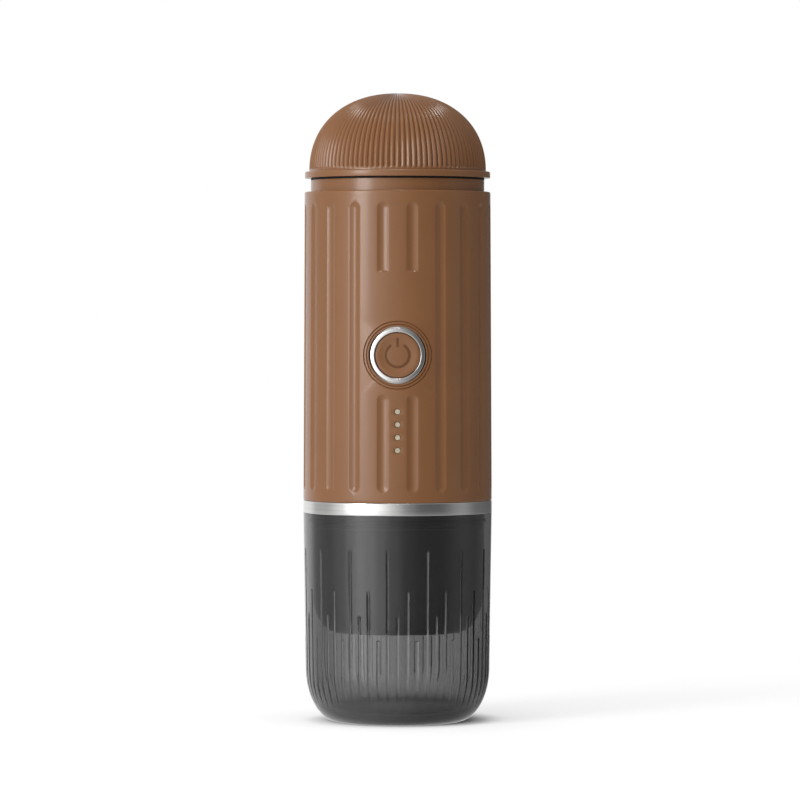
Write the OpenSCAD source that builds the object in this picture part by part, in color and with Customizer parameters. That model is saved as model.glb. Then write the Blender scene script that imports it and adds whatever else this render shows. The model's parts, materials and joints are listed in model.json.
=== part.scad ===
// Portable capsule coffee maker: a grooved housing with a lid on top, a cup and a capsule holder below.
// The frame's origin is the middle of the cup's base. +Z is up and the front, with the button, faces -Y.

/* [Housing] */
// Diameter at the foot of the housing
body_d = 70; // [68:0.5:74]
// Height of the housing
housing_h = 114.3; // [112:0.1:124]
// How much narrower the housing is at its top, on each side
housing_draft = 0.5; // [0.2:0.1:1]
// Wall of the housing at its top
housing_wall = 2.2; // [2:0.1:2.8]
// Bevel on the outer edges
edge = 0.5; // [0.2:0.1:0.8]
// Number of upright grooves, the front two included
groove_count = 20; // [12:2:24]
// Width of a groove
groove_w = 4.2; // [3:0.1:5]
// Depth of a groove
groove_depth = 0.75; // [0.3:0.05:1]
// From the housing's foot to the grooves
groove_low = 3.8; // [2:0.1:8]
// From the grooves to the housing's top
groove_high = 4.4; // [2:0.1:8]
// Length over which a groove runs out to its tip
groove_tip = 2.1; // [1.5:0.1:8]
// Top of the front grooves' lower stretch, above the housing's foot
front_low_top = 38.9; // [30:0.1:41]
// Bottom of the front grooves' upper stretch, above the housing's foot
front_high_low = 84.4; // [70:0.1:95]

/* [Trim ring and cup] */
// Height of the trim ring
ring_h = 4.7; // [3:0.1:8]
// Step of the ring and of the cup's rim beyond the housing's foot
ring_step = 0.05; // [0:0.05:0.3]
// Height of the cup
cup_h = 77.4; // [74:0.1:90]
// Wall of the cup
cup_wall = 2; // [1.6:0.1:2.2]
// Floor of the cup
cup_floor = 3.2; // [2:0.1:5]
// How much narrower the cup is above its rounded foot, on each side
cup_draft = 0.9; // [0.4:0.1:1.4]
// Width of the cup's rounded foot
cup_foot_w = 11.5; // [8:0.5:14]
// Height of the cup's rounded foot
cup_foot_h = 20; // [14:0.5:24]
// Number of fine flutes on the cup, in sets of four
flute_count = 60; // [40:4:80]
// Width of a flute
flute_w = 0.9; // [0.8:0.1:1.4]
// Depth of a flute
flute_depth = 0.3; // [0.2:0.05:0.35]
// Top of the longest flutes
flute_longest = 64; // [55:0.5:70]
// Top of the second longest flutes
flute_long = 50.6; // [45:0.1:54]
// Top of the short flutes
flute_short = 41.1; // [36:0.1:44]
// Top of the shortest flutes
flute_shortest = 32; // [28:0.5:35]

/* [Lid] */
// Height of the neck that shows under the lid
neck_h = 4.4; // [3:0.1:8]
// Thickness of the lid's seal
lid_seal_t = 0.7; // [0.5:0.1:1.5]
// Height of the lid's flange
flange_h = 2.4; // [1.5:0.1:4]
// Step of the flange in from the housing's top
flange_inset = 0.1; // [0:0.1:1]
// Step of the dome in from the flange
dome_step = 1.6; // [1:0.1:3]
// Height of the dome
dome_h = 29.1; // [20:0.1:34]
// Fullness of the dome's outline, where 2 is an ellipse
dome_fullness = 2.2; // [2:0.1:3]
// Wall of the dome
dome_wall = 2; // [1.5:0.1:3]
// How far the plug reaches into the tank
plug_depth = 6; // [4:0.5:10]
// Wall of the plug
plug_wall = 2; // [1.5:0.1:3]

/* [Button and indicators] */
// Height of the button above the housing's foot
button_up = 54; // [52:0.1:62]
// Outer diameter of the bezel
bezel_d = 20.9; // [18:0.1:22]
// Width of the bezel's rim
bezel_w = 2; // [1.2:0.1:2.4]
// How far the bezel stands out of the housing
bezel_proud = 0.15; // [0.05:0.05:0.2]
// How far the button's face lies below the bezel
button_recess = 0.7; // [0.4:0.1:1.2]
// Travel of the button
button_travel = 0.6; // [0.3:0.1:0.8]
// Diameter of the power sign's arc
sign_d = 9.2; // [7:0.1:10]
// Width of the power sign's lines
sign_line = 0.9; // [0.6:0.1:1.2]
// Lower end of the sign's bar above the button's middle
sign_bar_up = 3; // [2:0.1:4]
// Length of the sign's bar
sign_bar_l = 3.3; // [2:0.1:3.6]
// Radius of the inner line cut round the bezel
line_inner_r = 11.3; // [11.2:0.1:11.6]
// Radius of the outer line cut round the bezel
line_outer_r = 12.35; // [12.1:0.05:13]
// Width and depth of those lines
line_w = 0.3; // [0.2:0.05:0.4]
// Number of indicators
led_count = 4; // [3:1:4]
// Height of the lowest indicator above the housing's foot
led_up = 19.3; // [18:0.1:24]
// Distance between indicators
led_pitch = 4.7; // [4:0.1:5]
// Diameter of an indicator
led_d = 1.9; // [1.4:0.1:2.4]

/* [Brew head and capsule holder] */
// How far the brew head reaches up into the housing
head_in = 5; // [4:0.1:7]
// How far the brew head's spigot reaches down into the cup
spigot_h = 5; // [4.5:0.1:8]
// Wall of the spigot
spigot_wall = 2.3; // [2:0.1:3]
// From the cup's rim up to the brew head's ceiling
ceiling_up = 2.6; // [2:0.1:3.5]
// How far the capsule holder hangs below the cup's rim
holder_drop = 44.2; // [42:0.1:48]
// Wall of the capsule holder
holder_wall = 2; // [1.6:0.1:2.6]
// Floor of the capsule holder
holder_floor = 3; // [2:0.1:4]
// Width of the holder's rounded foot
holder_foot_w = 9; // [6:0.5:10]
// Height of the holder's rounded foot
holder_foot_h = 18; // [12:0.5:22]
// Widest inside diameter of the capsule's seat
capsule_d = 30.4; // [29:0.1:32]
// Inside diameter at the bottom of the capsule's seat
capsule_end_d = 23.4; // [22:0.1:25]
// Diameter of the recess for the capsule's rim
capsule_rim_d = 37.8; // [37:0.1:39]
// Depth of the capsule's seat
capsule_l = 29; // [27:0.1:30]

/* [Cells, boards and port] */
// Gap beside each cell, as three in a row across the bore would have it
cell_gap = 2.35; // [2.1:0.05:4]
// Length of a cell
cell_l = 65.2; // [62:0.1:68]
// Angle of the two side cells behind the sideways line
cell_angle = 20; // [18:1:24]
// Width of the circuit board
board_w = 31; // [27:0.5:32]
// Thickness of the circuit board
board_t = 1.6; // [1:0.1:2]
// Height of the charging port above the housing's foot
port_up = 18; // [16:0.5:26]
// Width of the port cover
cover_w = 12.6; // [11.5:0.1:13]
// Length of the port cover below its pin
cover_l = 7.8; // [6.5:0.1:9]

/* [Pump] */
// Gap between the circuit board and the pump
pump_gap = 2.4; // [2:0.1:3]
// Length of the pump's yoke
pump_l = 28; // [26:0.5:30]
// Diameter of the plunger
plunger_d = 8.2; // [7:0.1:9]
// Length of the plunger
plunger_l = 14; // [12:0.5:15]
// Bore of the hoses
hose_bore = 4.8; // [4:0.1:5]
// Wall of the hoses
hose_wall = 1.5; // [1:0.1:1.6]

/* [Tank and heater] */
// Wall of the neck collar
collar_wall = 2.4; // [2:0.1:3.5]
// Wall of the water tank
tank_wall = 0.8; // [0.6:0.1:1.2]
// Thickness of the heater plate
heater_t = 3; // [2:0.1:4]
// Step of the heater plate in from the tank's wall
heater_inset = 1.8; // [1:0.1:3]
// Room for the heating element under the heater plate
heater_room = 4; // [3.8:0.1:6]

/* [Hidden] */
$fn = 64;

// Clearances: a close fit, a pressed fit, a fit that runs free, and how far a cut reaches past a face
close_gap = 0.1;
press_gap = 0.05;
free_gap = 0.3;
cut = 1;

// A groove's cutter thins to this share of the radius at which it leaves the wall
tip_share = 0.97;

// Colours
brown = "#84604a";
dark_plastic = "#232325";
steel = "#b9bcc0";
copper = "#b3703c";
silicone = "#3a3a3c";

// Main radii
foot_r = body_d / 2;
top_r = foot_r - housing_draft;
bore_r = top_r - housing_wall;
ring_r = foot_r + ring_step;
frame_r = bore_r - close_gap;

// Main heights
rim_z = cup_h;
foot_z = rim_z + ring_h;
top_z = foot_z + housing_h;
neck_z = top_z + neck_h;
flange_z = neck_z + lid_seal_t;
dome_z = flange_z + flange_h;

// Brew head, from its spigot's lower end to its top inside the housing
spigot_r = bore_r - close_gap;
spigot_z = rim_z - spigot_h;
ceiling_z = rim_z + ceiling_up;
head_z = foot_z + head_in;
cup_seal_d = 1.8;
seal_groove = 1;
seal_up = 2.4;
seal_z = spigot_z + seal_up;
snap_step = 0.4;
snap_r = bore_r + snap_step;
snap_h = 1;
snap_up = 2.4;
snap_z = foot_z + snap_up;
plenum_h = 1.5;
plenum_r = 14;
boss_r = 4;
shower_t = 1.2;
shower_rim = 0.8;
shower_r = plenum_r + shower_rim;
seal_gap = 0.6;
seal_in_r = shower_r + seal_gap;
brew_seal_rim = 2;
shower_screw_r = 1;
shower_screw_l = 5;

// Capsule holder and what stands in it
socket_gap = 0.5;
holder_r = spigot_r - spigot_wall - socket_gap;
holder_wide_r = spigot_r - free_gap;
holder_wide_top = spigot_z - free_gap;
holder_z = rim_z - holder_drop;
holder_gap = 0.6;
holder_top = ceiling_z - holder_gap;
holder_bore_r = holder_r - holder_wall;
holder_floor_z = holder_z + holder_floor;
basket_r = holder_bore_r - close_gap;
basket_wall = 1.6;
basket_rim_h = 3;
brew_seal_t = 2.1;
basket_top = ceiling_z - brew_seal_t - free_gap;
capsule_rim_h = 1.3;
seat_z = basket_top - capsule_rim_h;
seat_low = seat_z - capsule_l;
pierce_t = 1.5;
pierce_ledge = 2.7;
spike_h = 4;
spike_r = 1;
spike_circle = 5;
nozzle_r = 5;
nozzle_rim_r = 7;
nozzle_rim_h = 1.3;
nozzle_bore_r = 2.2;

// Floor and cap of the frames that hold the cells
floor_t = 2.5;
tab_t = 0.6;
floor_z = head_z + floor_t;
cell_z = floor_z + tab_t;
cell_top = cell_z + cell_l;
bay_top = cell_top + tab_t;
cap_z = bay_top + floor_t;
pocket_h = 5;
pocket_gap = 0.15;
pocket_wall = 1.3;
tab_r = 5;
tab_w = 5;
column_r = 3;
column_inset = 5.8;
column_orbit = bore_r - column_inset;
columns = [for (angle = [-30, 60, 120, 210]) column_orbit * [cos(angle), sin(angle)]];

// Heater and tank above the cap
tank_r = bore_r - close_gap - collar_wall - close_gap - tank_wall;
tank_out_r = tank_r + tank_wall;
heater_low = cap_z + heater_room;
tank_z = heater_low + heater_t;
heater_r = tank_r - heater_inset;
tank_rim = 0.8;
tank_rim_h = 1.2;
ledge_h = 2;
ledge_drop = 10;
ledge_z = top_z - ledge_drop;
ledge_step = 0.8;
ledge_r = tank_out_r + ledge_step;
element_inset = 8;
element_r = heater_r - element_inset;
element_w = 4;
element_h = 3;
standoff_r = 2.5;
standoff_orbit = heater_r - standoff_r;
standoffs = [for (angle = [45:90:315]) standoff_orbit * [cos(angle), sin(angle)]];
thermostat_r = 6;
thermostat_h = 3.4;
thermostat_gap = 3;
thermostat_y = element_r - element_w / 2 - thermostat_r - thermostat_gap;
sensor_r = 1.6;
sensor_h = 3;
sensor_gap = 2.4;
sensor_x = element_r - element_w / 2 - sensor_r - sensor_gap;
plug_r = tank_r - free_gap;
dome_in_r = top_r - flange_inset - dome_step - dome_wall;

// Screws
screw_r = 1.1;
screw_head_r = 2.1;
screw_head_h = 1.6;
screw_l = 11;

// The front stack, as distances from the axis: board, switch, button, bezel
front_stack = 7.7;
board_front = bore_r - front_stack;
board_back = board_front - board_t;
guide_w = 3.5;
guide_t = 4.6;
guide_bite = 1;
switch_w = 6;
switch_h = 3.2;
switch_front = board_front + switch_h;
switch_bore_r = 1.7;
switch_floor = 0.8;
plunger_reach = 0.5;
plunger_tip = switch_front + plunger_reach;
stem_end = plunger_tip + press_gap;
flange_back = plunger_tip + button_travel;
button_flange_t = 1;
flange_front = flange_back + button_flange_t;
bezel_back = flange_front + free_gap;
button_z = foot_z + button_up;
button_side_r = side_r(button_z);
bezel_r = bezel_d / 2;
bezel_in_r = bezel_r - bezel_w;
button_gap = 0.2;
button_r = bezel_in_r - button_gap;
button_flange_w = 1;
button_flange_r = bezel_in_r + button_flange_w;
button_face_r = button_side_r + bezel_proud - button_recess;
sign_t = 0.12;
sign_opening = 64;
led_r = led_d / 2;
led_chip = 1.6;
pipe_back = board_front + led_chip / 2 + close_gap;
pipe_bar_t = 1.6;
lens_recess = 0.25;
lens_front = side_r(foot_z + led_up) - lens_recess;
lead_r = 0.9;
lead_x = 6;
lead_y = -board_back + lead_r + close_gap;
lead_drop = 9;
lead_z = bay_top - lead_drop;

// Parts on the board: across, up from the button, width, height and depth
chips = [[8, -22, 7, 7, 1.2], [-8, -20, 5, 8, 1.6], [-9, 12, 6, 6, 3], [9, 12, 8, 4, 2.4]];

// Cells and pump: what the bore leaves, from the board at the front to the charging socket at the back
cell_d = (2 * bore_r - 4 * cell_gap) / 3;
cell_r = cell_d / 2;
cell_wall_gap = 0.8;
cell_pump_gap = 0.6;
socket_l = 7.35;
socket_inset = 0.2;
socket_room = 2.35;
socket_y = bore_r - socket_inset;
cell_back = socket_y - socket_l - socket_room;
pump_d = board_back - pump_gap + cell_back - cell_d - cell_pump_gap;

// Pump, on an axis behind the board
pump_r = pump_d / 2;
pump_y = -board_back + pump_gap + pump_r;
hose_r = hose_bore / 2;
hose_out_r = hose_r + hose_wall;
nipple_r = hose_r - press_gap;
nipple_wall = 1;
nipple_bore_r = nipple_r - nipple_wall;
nipple_l = 7;
nipple_gap = 0.8;
head_nipple_z = floor_z + nipple_l;
valve_nipple_z = head_nipple_z + nipple_gap;
valve_z = valve_nipple_z + nipple_l;
valve_h = 8;
valve_r = 6;
pump_z = valve_z + valve_h;
pump_top = pump_z + pump_l;
inlet_h = 3;
inlet_z = pump_top + inlet_h;
inlet_nipple_z = inlet_z + nipple_l;
tank_nipple_z = inlet_nipple_z + nipple_gap;
yoke_t = 1;
plunger_r = plunger_d / 2;
plunger_fit = 0.08;
sleeve_in_r = plunger_r + plunger_fit;
sleeve_wall = 0.8;
sleeve_r = sleeve_in_r + sleeve_wall;
plunger_z = pump_z + (pump_l - plunger_l) / 2;
plunger_bore_r = 1;
spigot_in = 1.5;
spring_wall = 1;
spring_step = 0.2;
ball_r = 2;
chamber_r = 2.6;
valve_cap = 1.6;
valve_floor = 1.4;
chamber_top = pump_z - valve_cap;
chamber_z = valve_z + valve_floor;
seat_r = 1.2;
ball_z = chamber_top - sqrt(ball_r * ball_r - seat_r * seat_r) - press_gap;
pedestal_r = 10;
pedestal_in_r = 7.5;

// Places of the cells: two at the sides and one behind the pump
cell_orbit = bore_r - cell_wall_gap - cell_r;
pocket_bore_r = cell_r + pocket_gap;
pocket_r = pocket_bore_r + pocket_wall;
cells = [
    cell_orbit * [cos(cell_angle), sin(cell_angle)],
    [0, cell_back - cell_r],
    cell_orbit * [-cos(cell_angle), sin(cell_angle)]];

// Charging port at the back
port_z = foot_z + port_up;
socket_w = 8.94;
socket_h = 3.26;
socket_wall = 0.3;
tongue_w = 6.2;
tongue_t = 0.7;
tongue_in = 1;
charge_board_t = 1.2;
charge_board_w = 13;
charge_board_z = port_z - socket_h / 2 - charge_board_t;
cover_side_r = side_r(port_z) - close_gap;
cover_below = 1.9;
cover_behind = 0.7;
pin_r = 0.4;
pin_depth = 1.35;
pin_reach = 1.1;
pin_y = cover_side_r - pin_depth;
pin_z = port_z - socket_h / 2 - cover_below + cover_l;
pin_l = cover_w + 2 * pin_reach;
barrel_r = 1.3;
cover_back = pin_y - cover_behind;

// Radius of the housing's side at a height
function side_r(z) = foot_r - housing_draft * (z - foot_z) / housing_h;

// Radius of the round cutter that leaves a groove of a width and a depth
function cutter_r(width, depth) = (width * width / 4 + depth * depth) / (2 * depth);

// Quarter of a rounded outline, from its widest place to its end on the axis
function dome_outline(width, height, steps = 18) = [for (i = [0:steps])
    let (turn = 90 * i / steps)
    [width * pow(cos(turn), 2 / dome_fullness), dome_z + height * pow(sin(turn), 2 / dome_fullness)]];

// A rounded foot, from a flat base out to an upright side
function foot_outline(base_r, low, width, height, steps = 10) = [for (i = [0:steps])
    let (turn = 90 * i / steps)
    [base_r + width * sin(turn), low + height * (1 - cos(turn))]];

// A list in the opposite order
function reversed(list) = [for (i = [len(list) - 1:-1:0]) list[i]];

// An upright disc between two heights
module disc(r, low, high) {
    translate([0, 0, low]) cylinder(r = r, h = high - low);
}

// An upright tube between two heights
module tube(r_out, r_in, low, high) {
    difference() {
        disc(r_out, low, high);
        disc(r_in, low - cut, high + cut);
    }
}

// Moves its children to a place on the plan
module at(place) {
    translate([place[0], place[1], 0]) children();
}

// Turns its children from the +X side to an angle from the front
module from_front(angle) {
    rotate([0, 0, angle - 90]) children();
}

// A round bar that points to the front, between two distances from the axis
module front_bar(r, near, far, z) {
    translate([0, -near, z]) rotate([90, 0, 0]) cylinder(r = r, h = far - near);
}

// A spindle that cuts a groove, with a pointed or a square end at each side
module groove_cutter(r, tip_r, low, high, low_tip, high_tip) {
    lower = low_tip > 0 ? [[tip_r, low], [r, low + low_tip]] : [[r, low]];
    upper = high_tip > 0 ? [[r, high - high_tip], [tip_r, high]] : [[r, high]];
    rotate_extrude() polygon(concat([[0, low]], lower, upper, [[0, high]]));
}

// One groove of the housing between two heights above its foot
module housing_groove(angle, low, high, low_tip, high_tip) {
    r = cutter_r(groove_w, groove_depth);
    lean = atan(housing_draft / housing_h);
    from_front(angle) translate([foot_r + r - groove_depth, 0, foot_z]) rotate([0, -lean, 0])
        groove_cutter(r, (r - groove_depth) * tip_share, low, high, low_tip, high_tip);
}

// All the grooves: the two at the front break off around the button, the two at the back above the port
module housing_grooves() {
    step = 360 / groove_count;
    high = housing_h - groove_high;
    back_low = pin_z + barrel_r + groove_tip - foot_z;
    for (i = [1:groove_count / 2 - 2]) for (side = [-1, 1])
        housing_groove(side * (i + 0.5) * step, groove_low, high, groove_tip, groove_tip);
    for (side = [-1, 1]) {
        housing_groove(side * step / 2, groove_low, front_low_top, groove_tip, groove_tip);
        housing_groove(side * step / 2, front_high_low, high, 0, groove_tip);
        housing_groove(180 + side * step / 2, back_low, high, groove_tip, groove_tip);
    }
}

// A shallow line cut into the housing round the bezel
module bezel_line(r) {
    difference() {
        front_bar(r + line_w / 2, bezel_back, foot_r + cut, button_z);
        front_bar(r - line_w / 2, bezel_back - cut, foot_r + 2 * cut, button_z);
        disc(button_side_r - line_w, button_z - line_outer_r - cut, button_z + line_outer_r + cut);
    }
}

// The window that the port cover closes, with room for its barrel to turn
module port_window() {
    low = pin_z - cover_l - free_gap;
    high = pin_z + barrel_r + free_gap;
    width = cover_w + 2 * free_gap;
    translate([-width / 2, bore_r - 2 * cut, low]) cube([width, foot_r - bore_r + 4 * cut, high - low]);
}

// The shell of the housing, turned, with a ledge for the collar and a groove that the brew head snaps into
module housing_shell() {
    outer = [[foot_r - edge, foot_z], [foot_r, foot_z + edge], [top_r, top_z - edge], [top_r - edge, top_z]];
    ledge = [[bore_r, ledge_z], [ledge_r, ledge_z], [ledge_r, ledge_z - ledge_h],
        [bore_r, ledge_z - ledge_h - (bore_r - ledge_r)]];
    snap = [[bore_r, snap_z + snap_h + close_gap], [snap_r, snap_z + snap_h + close_gap],
        [snap_r, snap_z - close_gap], [bore_r, snap_z - close_gap]];
    rotate_extrude() polygon(concat([[bore_r, foot_z]], outer, [[bore_r, top_z]], ledge, snap));
}

module outer_housing() {
    color(brown) difference() {
        housing_shell();
        housing_grooves();
        front_bar(bezel_r + press_gap, bezel_back - 2 * cut, foot_r + cut, button_z);
        bezel_line(line_inner_r);
        bezel_line(line_outer_r);
        for (i = [0:led_count - 1])
            front_bar(led_r + press_gap, bore_r - cut, foot_r + cut, foot_z + led_up + i * led_pitch);
        port_window();
        port_pin_bar(pin_r + press_gap, pin_l + 2 * press_gap);
    }
}

module dome_cover() {
    rim = [[dome_in_r, flange_z], [top_r - flange_inset, flange_z],
        [top_r - flange_inset, dome_z - edge], [top_r - flange_inset - edge, dome_z]];
    outer = dome_outline(dome_in_r + dome_wall, dome_h);
    inner = reversed(dome_outline(dome_in_r, dome_h - dome_wall));
    color(brown) rotate_extrude() polygon(concat(rim, outer, inner));
}

module lid_plug() {
    plug_z = neck_z - plug_depth;
    color(dark_plastic) union() {
        disc(dome_in_r - press_gap, flange_z, dome_z);
        tube(plug_r, plug_r - plug_wall, plug_z, flange_z);
    }
}

module lid_seal() {
    color(silicone) tube(bore_r - close_gap, plug_r + press_gap, neck_z, flange_z);
}

module neck_collar() {
    color(brown) difference() {
        tube(bore_r - close_gap, tank_out_r + close_gap, ledge_z, neck_z);
        disc(tank_out_r + tank_rim + close_gap, neck_z - tank_rim_h, neck_z + cut);
    }
}

module water_tank() {
    color(steel) difference() {
        union() {
            disc(tank_out_r, tank_z, neck_z);
            disc(tank_out_r + tank_rim, neck_z - tank_rim_h, neck_z);
            at([0, pump_y]) disc(nipple_r, tank_nipple_z, tank_z + tank_wall / 2);
        }
        disc(tank_r, tank_z + tank_wall, neck_z + cut);
        at([0, pump_y]) disc(nipple_bore_r, tank_nipple_z - cut, tank_z + 2 * tank_wall);
    }
}

module heater_plate() {
    color(steel) difference() {
        disc(heater_r, heater_low, tank_z);
        at([0, pump_y]) disc(hose_out_r + free_gap, heater_low - cut, tank_z + cut);
    }
}

// A flat-topped ring, open at the front where the hose passes
module heating_element() {
    color("#7d7f83") translate([0, 0, heater_low - element_h]) rotate([0, 0, -60]) rotate_extrude(angle = 300)
        translate([element_r - element_w / 2, 0]) square([element_w, element_h]);
}

module thermostat() {
    ear_reach = thermostat_r + 2;
    ear_w = 6;
    ear_t = 1;
    color("#d9d4c6") at([0, thermostat_y]) union() {
        disc(thermostat_r, heater_low - thermostat_h, heater_low);
        translate([-ear_reach, -ear_w / 2, heater_low - ear_t]) cube([2 * ear_reach, ear_w, ear_t]);
    }
}

module temperature_sensor() {
    color("#c9a34a") at([sensor_x, -sensor_x / 3]) disc(sensor_r, heater_low - sensor_h, heater_low);
}

// Two leads from the heater down to the back of the board
module heater_leads() {
    color("#b23a2e") for (side = [-1, 1])
        at([side * lead_x, lead_y]) disc(lead_r, lead_z, heater_low);
}

// A flat strip between two cells
module tab_link(from, to, width, low, high) {
    run = to - from;
    at(from) rotate([0, 0, atan2(run[1], run[0])]) translate([0, -width / 2, low])
        cube([norm(run), width, high - low]);
}

module battery_cells() {
    color("#2f6f8f") for (cell = cells) at(cell) disc(cell_r, cell_z, cell_top);
}

module battery_tabs() {
    color(steel) union() {
        for (cell = cells) at(cell) {
            disc(tab_r, floor_z, cell_z);
            disc(tab_r, cell_top, bay_top);
        }
        tab_link(cells[0], cells[1], tab_w, floor_z, cell_z);
        tab_link(cells[1], cells[2], tab_w, cell_top, bay_top);
    }
}

// The slot, or the post around it, that holds one edge of the circuit board
module board_guide(side) {
    outer = board_w / 2 + guide_w - guide_bite;
    translate([side > 0 ? outer - guide_w : -outer, -board_front - guide_t / 2 + board_t / 2, head_z])
        cube([guide_w, guide_t, bay_top - head_z]);
}

module board_slot() {
    width = board_w + 2 * close_gap;
    translate([-width / 2, -board_front - close_gap, floor_z])
        cube([width, board_t + 2 * close_gap, bay_top - floor_z + cut]);
}

// The shelf behind the middle cell that carries the charge board
module charge_shelf() {
    translate([-charge_board_w / 2, cell_back, head_z])
        cube([charge_board_w, frame_r - cell_back + cut, charge_board_z - head_z]);
}

module lower_frame() {
    color("#4a4d52") difference() {
        intersection() {
            disc(frame_r, head_z, bay_top);
            union() {
                disc(frame_r, head_z, floor_z);
                for (cell = cells) at(cell) disc(pocket_r, head_z, floor_z + pocket_h);
                for (column = columns) at(column) disc(column_r, head_z, bay_top);
                for (side = [-1, 1]) board_guide(side);
                at([0, pump_y]) disc(pedestal_r, head_z, pump_z);
                charge_shelf();
            }
        }
        for (cell = cells) at(cell) disc(pocket_bore_r, floor_z, bay_top + cut);
        tab_link(cells[0], cells[1], tab_w + 2 * free_gap, floor_z - free_gap, floor_z + pocket_h + cut);
        board_slot();
        at([0, pump_y]) disc(pedestal_in_r, head_z - cut, pump_z + cut);
        for (column = columns) at(column) {
            disc(screw_r + press_gap, head_z - cut, head_z + screw_l);
            disc(screw_r + press_gap, bay_top - screw_l, bay_top + cut);
        }
    }
}

module upper_frame() {
    color("#4a4d52") difference() {
        intersection() {
            disc(frame_r, bay_top - pocket_h, heater_low);
            union() {
                disc(frame_r, bay_top, cap_z);
                for (cell = cells) at(cell) disc(pocket_r, bay_top - pocket_h, cap_z);
                for (standoff = standoffs) at(standoff) disc(standoff_r, bay_top, heater_low);
            }
        }
        for (cell = cells) at(cell) disc(pocket_bore_r, bay_top - pocket_h - cut, bay_top);
        tab_link(cells[1], cells[2], tab_w + 2 * free_gap, bay_top - pocket_h - cut, bay_top + free_gap);
        at([0, pump_y]) disc(hose_out_r + free_gap, bay_top - pocket_h - cut, cap_z + cut);
        for (column = columns) at(column) disc(screw_r + close_gap, bay_top - cut, cap_z + cut);
        for (side = [-1, 1]) at([side * lead_x, lead_y]) disc(lead_r + close_gap, bay_top - cut, cap_z + cut);
    }
}

// A screw with its head's underside at a height, pointing up or down
module screw(seat, up) {
    low = up ? seat : seat - screw_l;
    disc(screw_r, low, low + screw_l);
    disc(screw_head_r, up ? seat - screw_head_h : seat, up ? seat : seat + screw_head_h);
}

module frame_screws() {
    color(steel) for (column = columns) at(column) screw(cap_z, false);
}

module head_screws() {
    color(steel) for (column = columns) at(column) screw(ceiling_z + screw_head_h + close_gap, true);
}

module circuit_board() {
    color("#1f5c3a") translate([-board_w / 2, -board_front, floor_z])
        cube([board_w, board_t, bay_top - floor_z - free_gap]);
}

// A block that stands on the front of the circuit board
module on_board(x, z, width, height, depth) {
    translate([x - width / 2, -board_front - depth, z - height / 2]) cube([width, depth, height]);
}

module board_components() {
    color("#26282b") for (chip = chips) on_board(chip[0], button_z + chip[1], chip[2], chip[3], chip[4]);
}

module tact_switch() {
    color("#c8cacc") difference() {
        on_board(0, button_z, switch_w, switch_w, switch_h);
        front_bar(switch_bore_r, board_front + switch_floor, switch_front + cut, button_z);
    }
}

module switch_plunger() {
    color("#e4e2dc") front_bar(switch_bore_r - close_gap, board_front + switch_floor + button_travel + free_gap,
        plunger_tip, button_z);
}

module indicator_leds() {
    color("#efeadc") for (i = [0:led_count - 1])
        on_board(0, foot_z + led_up + i * led_pitch, led_chip, led_chip, led_chip / 2);
}

// One moulding: a bar with a round pin for each indicator
module indicator_lenses() {
    low = foot_z + led_up - led_r;
    high = low + (led_count - 1) * led_pitch + led_d;
    color("#d8d5d0") union() {
        translate([-led_r, -pipe_back - pipe_bar_t, low]) cube([led_d, pipe_bar_t, high - low]);
        for (i = [0:led_count - 1])
            front_bar(led_r, pipe_back, lens_front, foot_z + led_up + i * led_pitch);
    }
}

module button_bezel() {
    color("#c9c6c3") intersection() {
        difference() {
            front_bar(bezel_r, bezel_back, foot_r + cut, button_z);
            front_bar(bezel_in_r, bezel_back - cut, foot_r + 2 * cut, button_z);
        }
        disc(button_side_r + bezel_proud, button_z - bezel_r - cut, button_z + bezel_r + cut);
    }
}

module power_button() {
    color(brown) union() {
        intersection() {
            front_bar(button_r, flange_back, foot_r, button_z);
            disc(button_face_r, button_z - bezel_r, button_z + bezel_r);
        }
        front_bar(button_flange_r, flange_back, flange_front, button_z);
        front_bar(switch_bore_r - 2 * close_gap, stem_end, flange_back + free_gap, button_z);
    }
}

// The sign's arc, open at the top, and its upright bar in the opening
module power_sign() {
    sign_r = sign_d / 2;
    color("#4a3025") intersection() {
        tube(button_face_r + sign_t, button_face_r, button_z - bezel_r, button_z + bezel_r);
        union() {
            translate([0, -flange_back, button_z]) rotate([90, 270 - sign_opening / 2, 0])
                rotate_extrude(angle = 360 - sign_opening)
                translate([sign_r - sign_line, 0]) square([sign_line, foot_r - flange_back]);
            translate([-sign_line / 2, -foot_r, button_z + sign_bar_up])
                cube([sign_line, foot_r - flange_back, sign_bar_l]);
        }
    }
}

// A slot-shaped outline, round at both ends
module slot_outline(width, height) {
    reach = (width - height) / 2;
    union() {
        square([2 * reach, height], center = true);
        for (side = [-1, 1]) translate([side * reach, 0]) circle(d = height);
    }
}

module charge_board() {
    board_y = cell_back + free_gap;
    color("#1f5c3a") intersection() {
        translate([-charge_board_w / 2, board_y, charge_board_z])
            cube([charge_board_w, socket_y - board_y, charge_board_t]);
        disc(frame_r, charge_board_z - cut, charge_board_z + 2 * cut);
    }
}

module charge_socket() {
    color(steel) translate([0, socket_y, port_z]) rotate([90, 0, 0]) union() {
        difference() {
            linear_extrude(socket_l) slot_outline(socket_w, socket_h);
            translate([0, 0, -cut]) linear_extrude(socket_l)
                slot_outline(socket_w - 2 * socket_wall, socket_h - 2 * socket_wall);
        }
        translate([-tongue_w / 2, -tongue_t / 2, tongue_in])
            cube([tongue_w, tongue_t, socket_l - tongue_in - socket_wall]);
    }
}

// A bar along the port cover's pin
module port_pin_bar(r, length) {
    translate([-length / 2, pin_y, pin_z]) rotate([0, 90, 0]) cylinder(r = r, h = length);
}

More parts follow.
